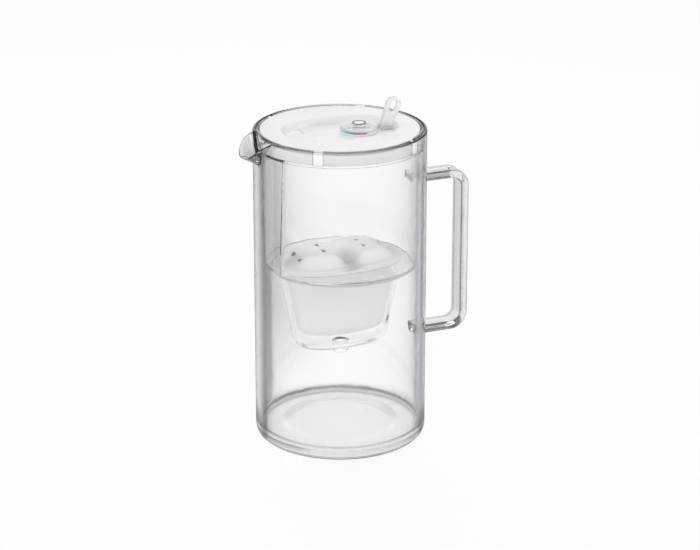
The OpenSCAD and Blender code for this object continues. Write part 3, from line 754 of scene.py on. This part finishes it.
def cone_r(z):
    """The reservoir's outside radius at a height."""
    return mix(RES_LOW_R, RES_TOP_R, (z - RES_BOTTOM) / (LEDGE_Z - RES_BOTTOM))


print("reservoir outlines are ready")

# %% [markdown]
# The wall's rings follow in order: over the collar, down the outside with its flat panel, along the
# oval well to the spigot, up its bore, and back up inside to where they began.

# %% Reservoir wall
UNDERSIDE = RES_BOTTOM + RES_WALL - RES_FLOOR_T
outer_cup = cup_rings(WELL_A, WELL_B, WELL_LOW, UNDERSIDE, WELL_TAPER, WELL_ROUND, CUP_ROWS)
inner_cup = cup_rings(
    WELL_A - RES_WALL, WELL_B - RES_WALL, WELL_LOW + RES_WALL, RES_BOTTOM + RES_WALL, WELL_TAPER,
    WELL_ROUND - RES_WALL, CUP_ROWS)
cone_heights = [
    LEDGE_Z - LEDGE_CLEAR - k * (LEDGE_Z - UNDERSIDE - EDGE) / CONE_ROWS for k in range(CONE_ROWS + 1)]
res_rings = [shifted_round_ring(COLLAR_IN_R, JUG_H - EDGE)]
res_rings += rounded_step(shifted_round_ring, COLLAR_IN_R, COLLAR_IN_R + EDGE, JUG_H - EDGE, JUG_H)[1:]
res_rings += [
    shifted_round_ring(COLLAR_R - EDGE, JUG_H),
    shifted_round_ring(COLLAR_R - EDGE / 3, JUG_H - EDGE / 4),
    shifted_round_ring(COLLAR_R, JUG_H - EDGE),
    shifted_round_ring(COLLAR_R, LEDGE_Z + EDGE),
    shifted_round_ring(COLLAR_R - EDGE / 2, LEDGE_Z),
]
res_rings += [flat_sided_ring(cone_r(z), PANEL_OUT_X, z) for z in cone_heights]
res_rings += [
    flat_sided_ring(RES_LOW_R - EDGE / 4, PANEL_OUT_X - EDGE / 4, UNDERSIDE + EDGE / 4),
    flat_sided_ring(RES_LOW_R - EDGE, PANEL_OUT_X - EDGE, UNDERSIDE),
    oval_ring(WELL_A + EDGE, WELL_B + EDGE, UNDERSIDE),
]
res_rings += outer_cup[1:]
res_rings += [
    round_ring(SPIGOT_R + EDGE, WELL_LOW),
    round_ring(SPIGOT_R, WELL_LOW - EDGE),
    round_ring(SPIGOT_R, SPIGOT_END + EDGE),
    round_ring(SPIGOT_R - EDGE, SPIGOT_END),
    round_ring(SPIGOT_BORE_R + EDGE / 2, SPIGOT_END),
    round_ring(SPIGOT_BORE_R, SPIGOT_END + EDGE),
    round_ring(SPIGOT_BORE_R, WELL_LOW + RES_WALL - EDGE),
    round_ring(SPIGOT_BORE_R + EDGE, WELL_LOW + RES_WALL),
]
res_rings += inner_cup[::-1][:-1]
res_rings += [
    oval_ring(WELL_A - RES_WALL + EDGE / 3, WELL_B - RES_WALL + EDGE / 3, RES_BOTTOM + RES_WALL - EDGE / 3),
    oval_ring(WELL_A - RES_WALL + EDGE, WELL_B - RES_WALL + EDGE, RES_BOTTOM + RES_WALL),
]
inner_heights = [
    RES_BOTTOM + RES_WALL + EDGE + k * (SKIRT_Z - RES_BOTTOM - RES_WALL - 2 * EDGE) / CONE_ROWS
    for k in range(CONE_ROWS + 1)]
res_rings += [flat_sided_ring(
    RES_LOW_R - RES_WALL - EDGE, PANEL_OUT_X - RES_WALL - EDGE, RES_BOTTOM + RES_WALL)]
res_rings += [flat_sided_ring(
    mix(RES_LOW_R, RES_TOP_R, (z - RES_BOTTOM - RES_WALL) / (SKIRT_Z - RES_BOTTOM - RES_WALL)) - RES_WALL,
    PANEL_OUT_X - RES_WALL, z) for z in inner_heights]
res_rings += [
    flat_sided_ring(RES_TOP_R - RES_WALL + EDGE, PANEL_OUT_X - RES_WALL + EDGE, SKIRT_Z),
    shifted_round_ring(COLLAR_IN_R, SKIRT_Z),
]
print("reservoir rings", len(res_rings))
bm = loft(res_rings, RES_SIDES, closed=True)
bmesh.ops.triangulate(bm, faces=[f for f in bm.faces if len(f.verts) > 3 and f.calc_area() < 1e-12])
reservoir = mesh_object("reservoir_clear", outward(bm), "reservoir", "clear_reservoir")


# %% [markdown]
# Cuts such as the four notches in the collar are made with an exact Boolean against plain blocks,
# which are thrown away afterwards.

# %% Notches
def block(size, place, turn=0.0):
    """A box as a bmesh, centred on its place."""
    bm = bmesh.new()
    bmesh.ops.create_cube(bm, size=1.0)
    bmesh.ops.scale(bm, verts=bm.verts, vec=size)
    bmesh.ops.translate(bm, verts=bm.verts, vec=place)
    bmesh.ops.rotate(bm, verts=bm.verts, cent=(0, 0, 0), matrix=Matrix.Rotation(turn, 3, "Z"))
    return bm


def together(parts):
    """Several bmesh pieces in one."""
    whole = bmesh.new()
    for part in parts:
        mesh = bpy.data.meshes.new("part")
        part.to_mesh(mesh)
        part.free()
        whole.from_mesh(mesh)
        bpy.data.meshes.remove(mesh)
    return whole


def carve(target, tool_bm):
    """An exact Boolean on a finished object; the tool is thrown away."""
    mesh = bpy.data.meshes.new("tool")
    tool_bm.to_mesh(mesh)
    tool_bm.free()
    tool = bpy.data.objects.new("tool", mesh)
    bpy.context.scene.collection.objects.link(tool)
    cut = target.modifiers.new("cut", "BOOLEAN")
    cut.operation = "DIFFERENCE"
    cut.solver = "EXACT"
    cut.object = tool
    shape = target.evaluated_get(bpy.context.evaluated_depsgraph_get())
    fresh = bpy.data.meshes.new_from_object(shape)
    target.modifiers.clear()
    old, target.data = target.data, fresh
    bpy.data.meshes.remove(old)
    bpy.data.objects.remove(tool)
    bpy.data.meshes.remove(mesh)
    return target


LUG_ANGLE = math.radians(52.5)
LUG_W = 7 * MM
LUG_GAP = 0.3 * MM
CUT = 1 * MM
lug_turns = [LUG_ANGLE, math.pi - LUG_ANGLE, math.pi + LUG_ANGLE, -LUG_ANGLE]
notch_h = JUG_H + CUT - (SKIRT_Z - LUG_GAP)
notch_w = COLLAR_R + CUT - (COLLAR_IN_R - CUT)
carve(reservoir, together([block(
    (notch_w, LUG_W + 2 * LUG_GAP, notch_h),
    (COLLAR_IN_R - CUT + notch_w / 2, 0, SKIRT_Z - LUG_GAP + notch_h / 2), turn) for turn in lug_turns]))
soft_shaded(reservoir, 30)
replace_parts(reservoir, "reservoir")
print("reservoir faces", len(reservoir.data.polygons))

# %% [markdown]
# The cartridge is an oval cup with a flange, and its cap is a thin skin pressed into soft waves: a
# grip ridge across the middle, a scoop for a finger on each side of it, and a dip at each end.

# %% Cartridge cup
CART_SIDES = 240
CART_A = 44.8 * MM
CART_B = 23.8 * MM
CART_LOW = 84.9 * MM
CART_WALL = 1.6 * MM
CART_BEND = 8.6 * MM
FLANGE_A = 49.2 * MM
FLANGE_B = 28.2 * MM
SHELL_Z = 140.2 * MM
FLANGE_T = 1.2 * MM
CAP_Z = SHELL_Z + FLANGE_T
FLANGE_EDGE = 0.3 * MM
DRAIN_SLOTS = 9
DRAIN_SIZE = (2 * MM, 16 * MM, 6 * MM)
DRAIN_PITCH = 5 * MM

inside = cup_rings(
    CART_A - CART_WALL, CART_B - CART_WALL, CART_LOW + CART_WALL, CAP_Z, WELL_TAPER,
    CART_BEND - CART_WALL, CUP_ROWS)
outside = cup_rings(CART_A, CART_B, CART_LOW, CAP_Z, WELL_TAPER, CART_BEND, CUP_ROWS)
flange = [
    oval_ring(FLANGE_A - FLANGE_EDGE, FLANGE_B - FLANGE_EDGE, CAP_Z),
    oval_ring(FLANGE_A, FLANGE_B, CAP_Z - FLANGE_EDGE),
    oval_ring(FLANGE_A, FLANGE_B, SHELL_Z + FLANGE_EDGE),
    oval_ring(FLANGE_A - FLANGE_EDGE, FLANGE_B - FLANGE_EDGE, SHELL_Z),
    oval_ring(CART_A, CART_B, SHELL_Z),
]
shell_bm = loft(inside[::-1] + flange + outside[1:], CART_SIDES)
shell = mesh_object("cartridge_cup", outward(shell_bm), "cartridge", "cartridge_white")
carve(shell, together([block(DRAIN_SIZE, (k * DRAIN_PITCH, 0, CART_LOW)) for k in range(
    -(DRAIN_SLOTS // 2), DRAIN_SLOTS // 2 + 1)]))
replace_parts(soft_shaded(shell), "cartridge_shell")
print("cup faces", len(shell.data.polygons))

# %% [markdown]
# The cap is a wavy skin over a flat flange. Its height is a formula: one raised middle to hold it by,
# less two scoops for the fingers at the sides and two at the ends, which leaves four lobes. Eight slots
# let the water in.

# %% Cartridge cap
CAP_SKIN = 1.6 * MM
CAP_RINGS = 44
CAP_CENTRE = 0.02
LOBE_H = 9 * MM
GRIP_H = 4.6 * MM
GRIP_HALF_LEN = 11 * MM
GRIP_HALF_W = 9 * MM
SIDE_SCOOP = 7.5 * MM
END_SCOOP = 15 * MM
END_DIP = 0.85
EDGE_SHARE = 0.24
INLET_SIZE = (3.2 * MM, 5.4 * MM, 30 * MM)
INLET_X = (-34.9 * MM, -16.1 * MM, 16.1 * MM, 34.9 * MM)
INLET_Y = (-6.7 * MM, 6.7 * MM)


def bump(distance, width):
    return math.exp(-(distance / width) ** 2)


def ease(share):
    share = max(0.0, min(1.0, share))
    return share * share * (3 - 2 * share)


def wave(x, y, s):
    """How far the cap's skin stands over its flange."""
    return ease((1 - s) / EDGE_SHARE) * (
        LOBE_H + GRIP_H * bump(x, GRIP_HALF_LEN) * bump(y, GRIP_HALF_W)
        - LOBE_H * bump(x, SIDE_SCOOP) * ease((abs(y) - GRIP_HALF_W / 2) / GRIP_HALF_LEN)
        - LOBE_H * END_DIP * bump(abs(x) - CART_A, END_SCOOP) * bump(y, GRIP_HALF_LEN))


def cap_ring(s, drop):
    def outline(angle):
        x, y = oval_xy(CART_A * s, CART_B * s, angle)
        return x, y, CAP_Z + max(0.0, FLANGE_T - drop + wave(x, y, s))
    return outline


shares = [CAP_CENTRE + (1 - CAP_CENTRE) * k / CAP_RINGS for k in range(CAP_RINGS + 1)]
cap_edge = [
    oval_ring(FLANGE_A - FLANGE_EDGE, FLANGE_B - FLANGE_EDGE, CAP_Z + FLANGE_T),
    oval_ring(FLANGE_A, FLANGE_B, CAP_Z + FLANGE_T - FLANGE_EDGE),
    oval_ring(FLANGE_A, FLANGE_B, CAP_Z),
]
cap_bm = loft(
    [cap_ring(s, 0) for s in shares] + cap_edge + [cap_ring(s, CAP_SKIN) for s in shares[::-1]],
    CART_SIDES)
cap = mesh_object("cartridge_cap_waves", outward(cap_bm), "cartridge", "cartridge_white")
carve(cap, together([
    block(INLET_SIZE, (x, y, CAP_Z + INLET_SIZE[2] / 2)) for x in INLET_X for y in INLET_Y]))
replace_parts(soft_shaded(cap, 40), "cartridge_cap")
print("cap faces", len(cap.data.polygons))

# %% [markdown]
# The lid, the flap and the timer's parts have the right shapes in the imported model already. Here they
# only get what a moulded edge has: a small radius that catches the light. Each is a copy of its node,
# merged, with its sharp edges rounded.

# %% Moulded edges
ROUND_FROM = math.radians(38)
FLAT_WITHIN = math.radians(0.6)
WELD_BEFORE = 0.001 * MM
WELD_AFTER = 0.0005 * MM


def moulded(node, name, radius, body, slot_name, segments):
    """A copy of a node with its sharp edges rounded."""
    bm = bmesh.new()
    bm.from_mesh(frame["nodes"][node].data)
    bmesh.ops.remove_doubles(bm, verts=bm.verts[:], dist=WELD_BEFORE)
    bmesh.ops.dissolve_limit(bm, angle_limit=FLAT_WITHIN, verts=bm.verts[:], edges=bm.edges[:])
    sharp = [e for e in bm.edges if e.is_manifold and e.calc_face_angle() > ROUND_FROM]
    bmesh.ops.bevel(
        bm, geom=sharp, offset=radius, offset_type="OFFSET", segments=segments, profile=0.5,
        affect="EDGES", clamp_overlap=True, material=-1)
    bmesh.ops.remove_doubles(bm, verts=bm.verts[:], dist=WELD_AFTER)
    made = soft_shaded(mesh_object(name, outward(bm), body, slot_name))
    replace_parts(made, node)
    return made


MOULDED = [
    ("lid_shell", "lid_white_shell", 0.5, "lid", "lid_white", 3),
    ("flap_panel", "flap_white", 0.35, "flap", "lid_white", 3),
    ("pull_loop", "loop_soft", 0.8, "flap", "loop_silicone", 4),
    ("timer_housing", "timer_base", 0.25, "flap", "timer_white", 2),
    ("timer_lens", "timer_window", 0.15, "flap", "lens_clear", 2),
    ("colour_ring", "timer_colours", 0.12, "flap", "colour_print", 2),
    ("button_bezel", "button_ring", 0.12, "flap", "bezel_dark", 2),
    ("reset_button", "button_cap", 0.5, "button", "timer_white", 3),
    ("battery_cover", "cell_cover", 0.25, "flap", "timer_white", 2),
    ("hinge_pin", "hinge_rod", 0.2, "lid", "pin_steel", 2),
]
for node, name, radius, body, slot_name, segments in MOULDED:
    made = moulded(node, name, radius * MM, body, slot_name, segments)
    print(name, len(made.data.polygons), "faces")

# %% [markdown]
# The dial carries only plain marks: a fine line across the camera side with a dot at each end.

# %% Dial marks
DIAL_X = 15.5 * MM
DIAL_TURN = math.radians(-23)
LENS_TOP = 244 * MM
MARK_T = 0.04 * MM
MARK_LINE = (10.4 * MM, 1.7 * MM)
MARK_Y = -9.4 * MM
DOT_R = 0.9 * MM
DOT_X = 7.2 * MM
DOT_SIDES = 24


def on_dial(bm):
    """Moves a bmesh from the dial's own place to where the dial sits on the flap."""
    bmesh.ops.rotate(bm, verts=bm.verts, cent=(0, 0, 0), matrix=Matrix.Rotation(DIAL_TURN, 3, "Z"))
    bmesh.ops.translate(bm, verts=bm.verts, vec=(DIAL_X, 0, LENS_TOP))
    return bm


def dot(x, y):
    bm = bmesh.new()
    bmesh.ops.create_cone(
        bm, cap_ends=True, segments=DOT_SIDES, radius1=DOT_R, radius2=DOT_R, depth=MARK_T)
    bmesh.ops.translate(bm, verts=bm.verts, vec=(x, y, MARK_T / 2))
    return bm


marks = together([
    block((*MARK_LINE, MARK_T), (0, MARK_Y, MARK_T / 2)), dot(-DOT_X, MARK_Y), dot(DOT_X, MARK_Y)])
mesh_object("dial_marks", outward(on_dial(marks)), "flap", "bezel_dark")
print("dial marks are on the lens")

# %% [markdown]
# Now the finishes. The clear plastic is real refractive plastic with a faint waviness, so that it draws
# its own dark edges. Its colour also carries painted shade: it goes grey where the wall is seen edge on,
# which is what tells clear plastic from the white ground, and greyer at the rim and under the lip, with
# faint upright streaks in that grey. Over the flat floor of the jug, which is seen at a low angle
# everywhere, the painted grey is held back; painted dark rings stand in the rounded foot and in the
# corner of the floor, stronger in patches across the view, and the grey is lighter towards the right
# of the main view. The grey is for rays that are seen, and for their first few steps. Rays that carry
# light stay clear, and rays that look for a lamp pass straight through.

# %% Clear plastic
CLEAR_IOR = 1.49
SHADOW_PASS = 0.97
# Painted shade: the greys of the jug, the reservoir and the handle's bar by how edge on each is seen.
EDGE_SHADE_STOPS = [
    (0.0, 1.0), (0.2, 0.97), (0.32, 0.92), (0.42, 0.84), (0.50, 0.64), (0.55, 0.22), (0.60, 0.17),
    (0.66, 0.38), (0.74, 0.62), (0.82, 0.78), (1.0, 0.66)]
RESERVOIR_SHADE_STOPS = [(0.0, 1.0), (0.3, 0.97), (0.5, 0.86), (0.66, 0.62), (0.8, 0.38), (1.0, 0.20)]
BAR_SHADE_STOPS = [(0.0, 0.86), (0.2, 0.76), (0.4, 0.63), (0.6, 0.48), (0.8, 0.28), (1.0, 0.12)]
# Painted shade: greyer at the rim above this height, and at the spout's lip.
RIM_FROM = 240.8 * MM
JUG_RIM = 0.42
COLLAR_RIM = 0.80
STREAK = 0.16
STREAK_SCALE = (160.0, 160.0, 1.5)
TINTED_STEPS = 7.0
SPOUT_FROM = -65.5 * MM
SPOUT_FACING = 0.46
# Painted shade: how dark the handle bar's rounded edges get.
BAR_CORNER = 3.4
# Painted shade: the grey fades by this share towards the right of the main view.
RIGHT_LIGHTER_BY = 0.2
RIGHT_LIGHTER_FROM = (0.3, 0.9)
RIPPLE_SCALE = 22.0
RIPPLE_DEPTH = 2 * MM
FLAT_HOLD = 0.85
FLAT_BELOW = 220 * MM
FOOT_TOP = 10.5 * MM
# Painted shade: dark rings in the rounded foot and a dark band in the floor's corner.
FOOT_STOPS = [
    (0.0, 0.9), (0.08, 0.6), (0.16, 0.0), (0.24, 0.7), (0.30, 0.1), (0.50, 0.0), (0.72, 0.5),
    (0.90, 0.9), (0.97, 0.7), (1.0, 0.0)]
FOOT_DARK = 0.08
CORNER_IN = 59.3 * MM
CORNER_OUT = 62.0 * MM
CORNER_TOP = 12.4 * MM
CORNER_SHARE = 0.55
# Painted shade: how strong the foot's rings are across the main view, from left to right.
PATCH_STOPS = [
    (0.0, 0.6), (0.05, 1.0), (0.26, 0.9), (0.34, 0.2), (0.50, 0.12), (0.62, 0.3), (0.85, 0.5),
    (0.91, 0.9), (1.0, 0.8)]


def grey(value):
    """A grey that leans to blue as it darkens, as a colour."""
    return (value, value ** 0.96, value ** 0.90)


def across(finish, place):
    """-1 at the jug's left edge in the main view to 1 at its right edge."""
    side = (math.cos(VIEW_TURN) / JUG_R, math.sin(VIEW_TURN) / JUG_R, 0.0)
    return finish.vector("DOT_PRODUCT", place, side, output="Value")


def painted_foot_shade(finish, place, level, height, looked_at):
    """White, with painted shade: dark rings in the jug's rounded foot, stronger in patches across the main
    view, and a dark band in the corner of its floor.
    """
    rings = finish.ramp(FOOT_STOPS, height * (1 / FOOT_TOP))
    patch_shade = finish.ramp(PATCH_STOPS, across(finish, place) * 0.5 + 0.5)
    flat = finish.vector("MULTIPLY", place, (1.0, 1.0, 0.0))
    radius = finish.vector("LENGTH", flat, output="Value")
    beyond = radius.above(CORNER_OUT)
    # Painted shade in the corner where the floor meets the wall.
    corner = (
        height.below(CORNER_TOP) * radius.above(CORNER_IN) * radius.below(CORNER_OUT) * CORNER_SHARE)
    foot = rings * patch_shade * (1.0 - level * level) * beyond
    return finish.ramp([(0.0, WHITE), (1.0, grey(FOOT_DARK))], corner.largest(foot) * looked_at)


def clear_plastic(name, waviness, edge_stops, rim_facing):
    """Refractive plastic with painted shade: grey by the angle it is seen at, for rays that are looked at.
    """
    finish = new_finish(name)
    facing = finish.facing()
    place = finish.place()
    outward_x, _, height = finish.split(place)
    _, side, level = finish.split(finish.node("ShaderNodeNewGeometry", output="Normal"))
    held = 1.0 - abs(level) * height.below(FLAT_BELOW) * FLAT_HOLD
    # Painted shade: the grey is lighter towards the right of the main view.
    right_side_lighter = finish.node("ShaderNodeMapRange", None, {
        "Value": across(finish, place), "From Min": RIGHT_LIGHTER_FROM[0], "From Max": RIGHT_LIGHTER_FROM[1],
        "To Min": 1.0, "To Max": 1.0 - RIGHT_LIGHTER_BY})
    streak = finish.node("ShaderNodeTexNoise", None, {
        "Vector": finish.vector("MULTIPLY", place, STREAK_SCALE), "Scale": 1.0, "Detail": 2.0})
    seen = facing * held * right_side_lighter
    # Painted shade: greyer at the rim and at the spout's lip.
    rim = height.above(RIM_FROM) * rim_facing
    lip = outward_x.below(SPOUT_FROM) * SPOUT_FACING
    share = (seen + (streak - 0.5) * seen * STREAK).largest(rim.largest(lip))
    # Painted shade: dark lines along the handle bar's rounded edges.
    if name == "clear_handle":
        share = share.largest(side * side * (1.0 - side * side) * BAR_CORNER)
    looked_at = (1.0 - finish.after_bounce()) * finish.ray("Ray Depth").below(TINTED_STEPS)
    # The painted shade becomes the plastic's colour, for rays that are seen.
    painted_shade_colour = finish.ramp([(at, grey(value)) for at, value in edge_stops], share * looked_at)
    if name == "clear_jug":
        painted_shade_colour = finish.vector("MULTIPLY", painted_shade_colour, painted_foot_shade(finish, place, level, height, looked_at))
    ripple = finish.node("ShaderNodeTexNoise", None, {"Scale": RIPPLE_SCALE, "Detail": 1.0})
    bumped = finish.node("ShaderNodeBump", None, {
        "Strength": waviness, "Distance": RIPPLE_DEPTH, "Height": ripple})
    body = finish.principled({
        "Base Color": painted_shade_colour, "Roughness": 0.0, "IOR": CLEAR_IOR, "Transmission Weight": 1.0,
        "Normal": bumped})
    passing = finish.clear_to((SHADOW_PASS, SHADOW_PASS, SHADOW_PASS, 1))
    return finish.ends_in(finish.chosen(finish.ray("Is Shadow Ray"), body, passing))


print("clear plastic stops", len(EDGE_SHADE_STOPS), len(RESERVOIR_SHADE_STOPS), len(BAR_SHADE_STOPS))

# %% [markdown]
# The other plastics are opaque or milky. The timer's window is a thin milky layer that shines, with
# a painted shade at its edge, and the loop has a painted grey where it is seen edge on. The cap's
# plastic carries a painted shade in its scoops, where the photograph shows a soft shade. The button's
# ring and the timer's scale are printed, so their colours follow the place on the dial.

# %% Other finishes
PLASTIC_IOR = 1.5
PLASTIC_GRAIN = 900.0
METAL_GRAIN = 600.0
SILICONE_GRAIN = 400.0
SILICONE_IOR = 1.4
SILICONE_CLEAR = 0.45
SMOOTHEST = 0.02
COAT_ROUGH = 0.03
MILKY = 0.36
COVER_SHINE = (0.02, 0.2)
COVER_ROUGH = 0.05
# Painted shade: the window's grey edge, by how edge on it is seen.
COVER_STOPS = [(0.74, WHITE), (0.96, (0.28, 0.30, 0.33))]
# Painted shade in the cap's scoops: how far it reaches, how it falls off and how dark it gets.
SCOOP_REACH = 1.4
SCOOP_POWER = 3.2
SCOOP_DARK = 0.8
# Painted shade: the loop greys where it is seen edge on.
LOOP_STOPS = [(0.0, (0.94, 0.945, 0.95)), (0.5, (0.84, 0.85, 0.86)), (1.0, (0.50, 0.52, 0.54))]
LOOP_PASS = 0.7
DARK_FROM = 243.4 * MM
BEZEL_STOPS = [(0.0, 0.8), (0.5, (0.10, 0.10, 0.11))]
RING_STOPS = [
    (0.0, (0.86, 0.88, 0.90)), (0.475, (0.86, 0.88, 0.90)), (0.495, (0.25, 0.66, 0.85)),
    (0.56, (0.02, 0.56, 0.56)), (0.655, (0.02, 0.30, 0.34)), (0.675, (0.55, 0.03, 0.16)),
    (0.745, (0.70, 0.05, 0.10)), (0.765, (0.84, 0.85, 0.88)),
]


def clear_cover(name):
    """The timer's window: a thin milky layer that shines, with painted shade that greys its edge."""
    finish = new_finish(name)
    facing = finish.facing()
    passing = finish.clear_to(finish.ramp(COVER_STOPS, facing))
    milk = finish.node("ShaderNodeBsdfDiffuse", None, {"Color": (0.95, 0.95, 0.96, 1)})
    shine = finish.node("ShaderNodeBsdfGlossy", None, {"Color": WHITE, "Roughness": COVER_ROUGH})
    looked_at = (1.0 - finish.after_bounce()) * (1.0 - finish.ray("Is Shadow Ray"))
    base_shine, edge_shine = COVER_SHINE
    return finish.ends_in(finish.chosen(
        (facing * facing * facing * edge_shine + base_shine) * looked_at,
        finish.chosen(looked_at * MILKY, passing, milk), shine))


def grip_cap(name, colour, roughness):
    """The cap's plastic, with painted shade in the finger scoops between the lobes."""
    finish = new_finish(name)
    x, y, _ = finish.split(finish.place())

    def hump(value, width):
        return finish.maths("POWER", math.e, value * value * (-1 / width ** 2))

    # Painted shade: greyer in the side scoops and in the dips at the ends.
    sides = hump(x, SIDE_SCOOP) * finish.smooth_range(
        abs(y), GRIP_HALF_W / 2, GRIP_HALF_W * SCOOP_REACH)
    ends = hump(abs(x) - CART_A * END_DIP, END_SCOOP / 2) * hump(y, GRIP_HALF_LEN)
    dark = tuple(part ** SCOOP_POWER * SCOOP_DARK for part in colour)
    painted_shade_colour = finish.ramp([(0.0, colour), (1.0, dark)], sides.largest(ends))
    return finish.ends_in(finish.principled({
        "Base Color": painted_shade_colour, "Roughness": roughness, "IOR": PLASTIC_IOR}))


def solid_plastic(name, colour, roughness, coat=0.0, speckle=0.0):
    """An opaque plastic with a barely uneven gloss."""
    finish = new_finish(name)
    uneven = finish.grain(
        PLASTIC_GRAIN, 2.0, max(SMOOTHEST, roughness - speckle), roughness + speckle)
    return finish.ends_in(finish.principled({
        "Base Color": (*colour, 1), "Roughness": uneven, "IOR": PLASTIC_IOR, "Coat Weight": coat,
        "Coat Roughness": COAT_ROUGH}))


def metal(name, colour, roughness):
    finish = new_finish(name)
    uneven = finish.grain(METAL_GRAIN, 3.0, roughness - 0.05, roughness + 0.08)
    return finish.ends_in(finish.principled({
        "Base Color": (*colour, 1), "Metallic": 1.0, "Roughness": uneven}))


def soft_clear(name):
    """Milky silicone that lets some light through, with painted shade that greys it where it is seen edge
    on.
    """
    finish = new_finish(name)
    body = finish.principled({
        "Base Color": finish.ramp(LOOP_STOPS, finish.facing()),
        "Roughness": finish.grain(SILICONE_GRAIN, 2.0, 0.3, 0.42),
        "IOR": SILICONE_IOR, "Transmission Weight": SILICONE_CLEAR})
    passing = finish.clear_to((LOOP_PASS, LOOP_PASS, LOOP_PASS, 1))
    return finish.ends_in(finish.chosen(finish.ray("Is Shadow Ray"), body, passing))


def dark_topped(name):
    """The button's ring: printed dark where it shows, and white below, as its moulding is."""
    finish = new_finish(name)
    height = finish.split(finish.place())[2]
    return finish.ends_in(finish.principled({
        "Base Color": finish.ramp(BEZEL_STOPS, height.above(DARK_FROM)), "Roughness": 0.25,
        "IOR": PLASTIC_IOR}))


def printed_ring(name):
    """The timer's scale: blue green, then red, then plain, running round the camera side."""
    finish = new_finish(name)
    x, y, _ = finish.split(finish.place())
    angle = finish.maths("ARCTAN2", y * -1.0, DIAL_X - x) * (1 / TURN) + 0.5
    return finish.ends_in(finish.principled({
        "Base Color": finish.ramp(RING_STOPS, angle), "Roughness": 0.35, "IOR": PLASTIC_IOR}))


print("milky, solid and printed finishes are ready")

# %% [markdown]
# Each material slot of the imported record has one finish.

# %% Finishes by slot
finishes = {
    "clear_jug": clear_plastic("clear_jug", 0.03, EDGE_SHADE_STOPS, JUG_RIM),
    "clear_reservoir": clear_plastic("clear_reservoir", 0.02, RESERVOIR_SHADE_STOPS, COLLAR_RIM),
    "lens_clear": clear_cover("lens_clear"),
    "cartridge_white": solid_plastic("cartridge_white", (0.94, 0.945, 0.955), 0.42, speckle=0.04),
    "lid_white": solid_plastic("lid_white", (0.87, 0.87, 0.89), 0.16, coat=0.5, speckle=0.03),
    "timer_white": solid_plastic("timer_white", (0.93, 0.93, 0.94), 0.3, speckle=0.03),
    "loop_silicone": soft_clear("loop_silicone"),
    "soft_seal": solid_plastic("soft_seal", (0.85, 0.86, 0.87), 0.5, speckle=0.05),
    "screen_mesh": solid_plastic("screen_mesh", (0.82, 0.83, 0.84), 0.6, speckle=0.1),
    "granulate": solid_plastic("granulate", (0.06, 0.06, 0.06), 0.8, speckle=0.15),
    "bezel_dark": dark_topped("bezel_dark"),
    "board_green": solid_plastic("board_green", (0.02, 0.16, 0.08), 0.4, speckle=0.05),
    "light_lens": solid_plastic("light_lens", (0.85, 0.85, 0.75), 0.2, speckle=0.02),
    "pin_steel": metal("pin_steel", (0.62, 0.62, 0.63), 0.28),
    "dome_steel": metal("dome_steel", (0.66, 0.66, 0.67), 0.25),
    "cell_steel": metal("cell_steel", (0.68, 0.68, 0.70), 0.22),
    "contact_brass": metal("contact_brass", (0.80, 0.60, 0.28), 0.3),
    "colour_print": printed_ring("colour_print"),
}
print("finishes", len(finishes))

# %% [markdown]
# Every model node takes the finish of its own slot in the imported record. The handle and the cap
# get finishes of their own, and every other new piece takes the finish of the slot that it names.

# %% Finishes on the pieces
node_slot = {entry["node"]: entry["material_slot"] for entry in frame["record"]["subparts"]}
handle.data.materials.append(clear_plastic("clear_handle", 0.0, BAR_SHADE_STOPS, 0.0))
cap.data.materials.append(grip_cap("cap_white", (0.87, 0.875, 0.89), 0.42))
painted = 0
for name, node in frame["nodes"].items():
    node.data.materials.clear()
    node.data.materials.append(finishes[node_slot[name]])
    painted += 1
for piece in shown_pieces():
    if piece.get("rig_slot") and not piece.data.materials:
        piece.data.materials.append(finishes[piece["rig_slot"]])
        painted += 1
print("pieces painted", painted)

# %% [markdown]
# Light needs enough steps to get through several clear walls and back.

# %% Light steps
steps = bpy.context.scene.cycles
steps.max_bounces = 24
steps.transmission_bounces = 20
steps.transparent_max_bounces = 32
steps.glossy_bounces = 8
print("light steps", steps.max_bounces)
